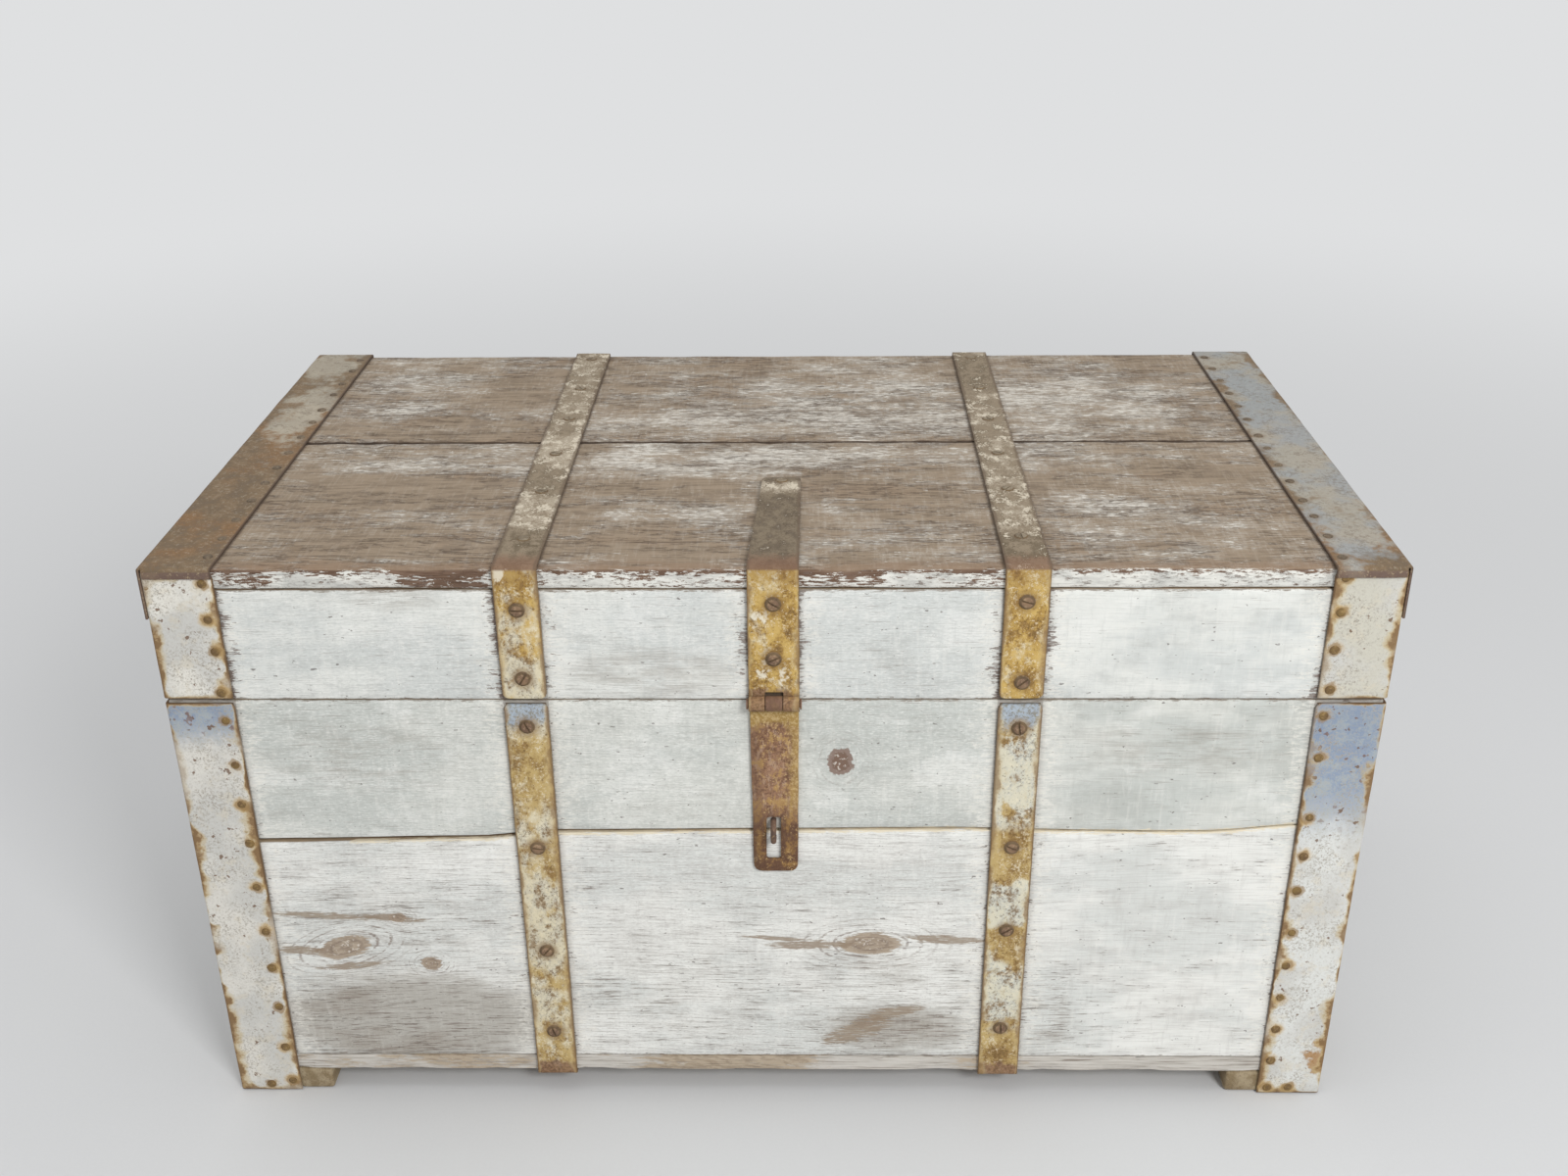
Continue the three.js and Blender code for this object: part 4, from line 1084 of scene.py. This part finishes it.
def lattice(low, high, rim, pitch):
    """Places of lattice lines between two edges, closer together at both."""
    count = max(1, round((high - low - 2 * rim) / pitch))
    middle = [low + rim + (high - low - 2 * rim) * i / count for i in range(count + 1)]
    return [low, low + rim * 0.35, *middle, high - rim * 0.35, high]


def slab(low, high, grain, easing, wear, seed):
    """A board as a closed lattice, its edges rounded and worn and its faces slightly wavy."""
    pitches = [7 * mm] * 3
    pitches[grain] = 14 * mm
    lines = [lattice(low[axis], high[axis], easing, pitches[axis]) for axis in range(3)]
    last = [len(places) - 1 for places in lines]
    form = bmesh.new()
    made = {}

    def vertex(index):
        if index not in made:
            co = Vector(lines[axis][index[axis]] for axis in range(3))
            made[index] = form.verts.new(worn_place(co, low, high, grain, easing, wear, seed))
        return made[index]

    for axis in range(3):
        across, along = [other for other in range(3) if other != axis]
        for end in (0, last[axis]):
            for i in range(last[across]):
                for j in range(last[along]):
                    corners = []
                    for di, dj in ((0, 0), (1, 0), (1, 1), (0, 1)):
                        index = [0, 0, 0]
                        index[axis] = end
                        index[across] = i + di
                        index[along] = j + dj
                        corners.append(vertex(tuple(index)))
                    form.faces.new(corners)
    bmesh.ops.recalc_face_normals(form, faces=form.faces)
    return form


def worn_place(co, low, high, grain, easing, wear, seed):
    """Where a place on a plain box lies on the worn board."""
    shifted = co + Vector((seed, seed, seed))
    round_by = easing * (1 + 0.5 * noise.noise(shifted / (35 * mm)))
    core = Vector(min(max(co[axis], low[axis] + round_by), high[axis] - round_by) for axis in range(3))
    out = co - core
    beyond = [axis for axis in range(3) if abs(out[axis]) > 1e-7]
    if out.length > round_by:
        out = out.normalized() * round_by
    place = core + out
    stretched = shifted / (16 * mm)
    stretched[grain] = shifted[grain] / (130 * mm)
    relief = 0.35 * mm * (0.5 + 0.5 * noise.noise(stretched))
    notch = max(0, noise.noise(shifted / (24 * mm)) - 0.15) * wear if len(beyond) > 1 else 0
    inward = -out.normalized() if out.length > 0 else Vector((0, 0, 0))
    place += inward * (relief + notch)
    for axis in range(3):
        if axis != grain and axis in beyond and len(beyond) > 1:
            sway = 0.5 + 0.5 * noise.noise(Vector((shifted[grain] / (90 * mm), axis * 7.0, seed)))
            place[axis] += math.copysign(wear * 0.5 * sway, -out[axis])
    return place


def edge_levels(node, pick):
    """The level of a board's upper or lower edge at its left and right ends."""
    corners = [v.co for v in frame["nodes"][node].data.vertices]
    return [pick(co.z for co in corners if co.x * sign > end_x * 0.9) for sign in (-1, 1)]


def add_board(node, finish, grain, easing=0.9 * mm, wear=0.6 * mm, slant=None):
    """A board in place of its solid. Slant names the edge that follows the sloping seam, top or foot."""
    low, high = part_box(node)
    seed = random.Random(node).uniform(-5, 5)
    form = slab(low, high, grain, easing, wear, seed)
    if slant:
        left, right = edge_levels(node, max if slant == "top" else min)
        fixed = low.z if slant == "top" else high.z
        moving = high.z if slant == "top" else low.z
        for vertex in form.verts:
            share = (vertex.co.x - low.x) / (high.x - low.x)
            level = left + (right - left) * share + seam_wander(vertex.co.x)
            vertex.co.z = fixed + (vertex.co.z - fixed) * (level - fixed) / (moving - fixed)
    return add_piece(f"worn_{node}", form, finish, body_of[node], slot_of[node], node)


# The boards' finishes
def add_boards():
    seam_left, seam_right = edge_levels("body_front_lower_board", max)
    slope = (seam_right - seam_left) / (2 * end_x)
    seam_level = (seam_left + seam_right) / 2
    body_nodes = [f"body_front_{side}_iron" for side in sides] + [f"{side}_body_strap" for side in sides]
    body_irons = spans(0, *body_nodes)
    lid_straps = [f"{side}_lid_strap" for side in sides]
    lid_irons = spans(0, *lid_straps, *[f"lid_front_{side}_iron" for side in sides])
    hasp_span = spans(0, "hasp")
    tan = "#ded3ba"
    grime = "#8d8378"
    foot = Edge(board_low.z, 0, 0.4 * mm, 1.5 * mm, None, grime)
    seam = Edge(seam_level + 0.5 * mm, slope, 2 * mm, 4 * mm, -365 * mm, tan)
    parting = Edge(body_top_z, 0, 0.2 * mm, 1.5 * mm, None, grime)
    lid_foot = Edge(rail_low.z, 0, 0.2 * mm, 1.5 * mm, None, grime)
    lid_head = Edge(rail_high.z, 0, 0.4 * mm, 1.5 * mm, None, grime)
    end_irons = spans(1, "body_front_left_iron", "body_back_left_iron")

    front = Face(1, -1, front_y)
    finish = painted_pine("front_lower_paint", front, lower_coat, body_irons, [seam, foot],
                          lower_ovals, lower_zones)
    add_board("body_front_lower_board", finish, 0, slant="top")
    finish = painted_pine("front_upper_paint", front, upper_coat, body_irons,
                          [seam, parting], upper_ovals, upper_zones, 11, hasp_span)
    add_board("body_front_upper_board", finish, 0, slant="foot")
    finish = painted_pine("front_rail_paint", front, lid_coat, lid_irons + hasp_span,
                          [lid_foot, lid_head], (), rail_zones, 23)
    add_board("lid_front_rail", finish, 0)

    back = painted_pine("back_paint", Face(1, 1, back_y), end_coat, body_irons, [foot, parting], shift=31)
    for node in ("body_back_lower_board", "body_back_upper_board", "lid_back_rail"):
        add_board(node, back, 0)
    for side, sign in sides.items():
        face = Face(0, sign, end_x * sign)
        end = painted_pine(f"{side}_end_paint", face, end_coat, end_irons, [foot, parting], shift=41)
        for node in (f"body_{side}_lower_board", f"body_{side}_upper_board", f"lid_{side}_rail"):
            add_board(node, end, 1)

    top_irons = spans(0, *lid_straps, *[f"lid_{side}_top_iron" for side in sides])
    front_top = worn_top("top_front_paint", top_irons, top_front_zones)
    back_top = worn_top("top_back_paint", top_irons, top_back_zones, 17)
    add_board("lid_top_front_board", front_top, 0, easing=2.8 * mm, wear=1.4 * mm)
    add_board("lid_top_back_board", back_top, 0)
    for i in (1, 2, 3):
        add_board(f"bottom_board_{i}", bare_pine(f"bottom_pine_{i}", 0, i * 5, i == 1), 0, wear=2 * mm)
    runner_pine = bare_pine("runner_pine", 1, pale="#a39479", dark="#867559")
    for side in sides:
        add_board(f"{side}_runner", runner_pine, 1, easing=3 * mm, wear=1.5 * mm)


# The irons, straps and hasp
pale_irons = {
    ("lid", "left"): "#e1ded5",
    ("lid", "right"): "#c7c4b7",
    ("body", "left"): "#d9d6ce",
    ("body", "right"): "#d8d9d5",
}


def add_irons():
    nail_iron = rusty_iron("nail_iron", "#80683f", "#675138", "#a0865c")
    top_nail_iron = rusty_iron("top_nail_iron", "#6f6150", "#594d40", "#8a7d69")
    for side in sides:
        for end in ("front", "back"):
            for part in ("body", "lid"):
                node = f"{part}_{end}_{side}_iron"
                low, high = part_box(node)
                heads = iron_nails(part, end, side)
                blue = None
                if part == "body":
                    faded, full = (50, 15) if side == "left" else (150, 75)
                    blue = (high.z - faded * mm, high.z - full * mm)
                pale = pale_irons[part, side]
                rusted = [Vector((high.x, low.y, 42 * mm))] if node == "body_front_right_iron" else None
                places = [head.place for head in heads]
                finish = corner_iron(f"{node}_paint", low, high, places, pale, blue, rusted)
                add_worn(node, finish)
                add_nails(f"{part}_{end}_{side}_nails", heads, nail_iron, part)
        node = f"lid_{side}_top_iron"
        low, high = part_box(node)
        heads = top_iron_nails(side)
        if side == "left":
            fade = Fade(0.3, 0.9, -0.08, 0.09, "#b0a999", "#a39d8f")
        else:
            fade = Fade(0, 0.3, 0.02, 0.13, "#999fa1", "#a5a196")
        finish = top_iron(f"{node}_paint", low, high, [head.place for head in heads], fade)
        add_worn(node, finish)
        add_nails(f"lid_{side}_top_nails", heads, top_nail_iron, "lid")


def centre(node):
    low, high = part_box(node)
    return Vector(((low.x + high.x) / 2, low.y, (low.z + high.z) / 2))


# Grime is the dark finish of the screw's slot: painted shade in the slot, with its grime
def add_front_screw(name, iron, grime):
    screw = add_worn(name, iron, easing=0.25 * mm, pitch=0)
    seat = centre(name) + Vector((0, screw_rise, 0))
    darken_slot(screw, [Head(seat, forward)], grime)


def lid_strap_look(side, low):
    """The left lid strap has less gold than the right one, and has kept a flake at its bend."""
    if side == "right":
        return StrapLook(0.58, 0.06, None, None, None, right_top_bands)
    flake = Vector((low.x + 4 * mm, low.y, lid_top_z))
    return StrapLook(0.5, 0.05, None, None, [flake], left_top_bands)


def body_strap_look(side, low, high):
    """Both body straps are blue at the top and rusty at the foot. The right one has paler cream."""
    look = StrapLook(0.49, 0, high.z - 36 * mm, low.z + 12 * mm, None, left_bands)
    if side == "right":
        look = look._replace(bands=right_bands, cream="#d3ceb9", other_cream="#c3c4bb")
    return look


def add_straps():
    screw_iron = rusty_iron("screw_iron", "#8a7057", "#6e5746", "#a88f73")
    worn_iron = rusty_iron("worn_screw_iron", "#877b69", "#6f6352", "#a39781")
    # The slots' dark finish is painted shade in the recess, with grime
    slot_shade_and_grime = rusty_iron("screw_slot_shade_and_grime", "#6d5a43", "#5b4a37", "#85704f")
    for side in sides:
        lid_node, body_node = f"{side}_lid_strap", f"{side}_body_strap"
        for node in (lid_node, body_node):
            screws = [name for name in frame["nodes"] if name.startswith(f"{node}_screw")]
            low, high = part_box(node)
            middle = (low.x + high.x) / 2
            top_heads = []
            if node == lid_node:
                level = high.z - top_screw_sink
                rows = [strap_front_y + y * mm for y in screw_rows[side]]
                top_heads = [Head(Vector((middle, y, level)), up) for y in rows]
                add_screws(f"{node}_top_screws", top_heads, worn_iron, slot_shade_and_grime, "lid")
                look = lid_strap_look(side, low)
                levels = [high.z - drop * mm for drop in lid_back_drops]
            else:
                look = body_strap_look(side, low, high)
                levels = [high.z - share * (high.z - low.z) for share in body_back_shares]
            back_face = high.y - back_knuckle_depth
            heads = [Head(Vector((middle, back_face, z)), backward) for z in levels]
            places = [centre(name) for name in screws] + [head.place for head in heads + top_heads]
            add_worn(node, strap_iron(f"{node}_paint", low, high, places, look))
            add_screws(f"{node}_back_screws", heads, screw_iron, slot_shade_and_grime, body_of[node])
            for name in screws:
                add_front_screw(name, screw_iron, slot_shade_and_grime)

    low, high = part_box("hasp_strap")
    tip = Head(Vector((tip_screw_x, tip_screw_y, high.z - top_screw_sink)), up)
    screws = ["hasp_strap_screw_1", "hasp_strap_screw_2"]
    flakes = [Vector((x * mm, low.y, z * mm)) for x, z in ((-8, 446), (9, 440), (-10, 500))]
    look = StrapLook(0.58, -0.04, None, hasp_high.z + 1 * mm, flakes, hasp_strap_bands)
    look = look._replace(top_pale="#7d705d", top_dark="#635748")
    places = [centre(name) for name in screws] + [tip.place]
    low.x, high.x = hasp_low.x - 1 * mm, hasp_high.x + 1 * mm
    add_worn("hasp_strap", strap_iron("hasp_strap_paint", low, high, places, look), pitch=5 * mm)
    add_screws("hasp_strap_top_screw", [tip], worn_iron, slot_shade_and_grime, "lid")
    for name in screws:
        add_front_screw(name, screw_iron, slot_shade_and_grime)
    add_worn("hasp", hasp_iron("hasp_rust", hasp_low, hasp_high), pitch=5 * mm)


def add_ironmongery():
    """The pins, the staple and the drop handles."""
    iron = rusty_iron("wrought_iron", "#6f584a", "#54433a", "#93795c")
    pin_iron = rusty_iron("hasp_pin_iron", "#8a6d58", "#75594a", "#a58a6c")
    add_worn("hasp_pin", pin_iron, easing=0.4 * mm, pitch=0)
    plain = ["left_hinge_pin", "right_hinge_pin", "staple"]
    plain += [f"{side}_handle_{part}" for side in sides for part in ("bail", "front_plate", "back_plate")]
    for node in plain:
        add_worn(node, iron, easing=0.4 * mm, pitch=0)
    for side, sign in sides.items():
        for end in ("front", "back"):
            low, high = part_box(f"{side}_handle_{end}_plate")
            middle = (low + high) / 2
            face = sign * (end_x + plate_thickness)
            rises = (-handle_nail_reach, handle_nail_reach)
            places = [Vector((face, middle.y, middle.z + rise)) for rise in rises]
            heads = [Head(place, Vector((sign, 0, 0))) for place in places]
            add_nails(f"{side}_handle_{end}_nails", heads, iron, "body")


# Floor and light
backdrop = linear("#dfe0e1")
ambient_strength = 0.62


def add_floor():
    """A pale floor that passes into the backdrop's colour away from the trunk."""
    half = 40
    form = bmesh.new()
    bmesh.ops.create_grid(form, x_segments=8, y_segments=8, size=half)
    mesh = bpy.data.meshes.new("floor")
    form.to_mesh(mesh)
    form.free()
    s = Surface("floor_paint")
    grit = s.cloud(3)
    ground = s.coat(s.tint(grit, "#cfd0d1", "#d3d4d5"), 0.8, grit, 0.05 * mm)
    far = s.rise((s.x * s.x + s.y * s.y).root(), 0.5, 3.5) * s.seen_rays()
    beyond = s.node("ShaderNodeEmission", {0: backdrop})
    shader = s.node("ShaderNodeMixShader", {0: far, 1: ground, 2: beyond})
    s.node("ShaderNodeOutputMaterial", {"Surface": shader})
    mesh.materials.append(s.material)
    floor = bpy.data.objects.new("floor", mesh)
    scene.collection.objects.link(floor)


def add_lamp(name, place, aim, width, power):
    lamp = bpy.data.lights.new(name, "AREA")
    lamp.shape = "SQUARE"
    lamp.size = width
    lamp.energy = power
    holder = bpy.data.objects.new(name, lamp)
    holder.location = place
    holder.rotation_euler = (Vector(aim) - Vector(place)).to_track_quat("-Z", "Y").to_euler()
    scene.collection.objects.link(holder)


def add_light():
    world = bpy.data.worlds.new("studio")
    world.use_nodes = True
    scene.world = world
    sky = Tree(world.node_tree)
    ambient = sky.node("ShaderNodeBackground", {"Color": (1, 1, 1, 1), "Strength": ambient_strength})
    seen = sky.node("ShaderNodeBackground", {"Color": backdrop})
    shader = sky.node("ShaderNodeMixShader", {0: sky.seen_rays(), 1: ambient, 2: seen})
    sky.node("ShaderNodeOutputWorld", {"Surface": shader})
    add_lamp("front_lamp", (1.4, -2.6, 2.3), (0, 0, 0.25), 0.9, 62)
    add_lamp("top_lamp", (-0.5, 0.1, 3.1), (0, 0, 0.3), 2.4, 20)


scene.view_settings.view_transform = "Standard"
add_camera()
add_floor()
add_light()
add_boards()
add_irons()
add_straps()
add_ironmongery()
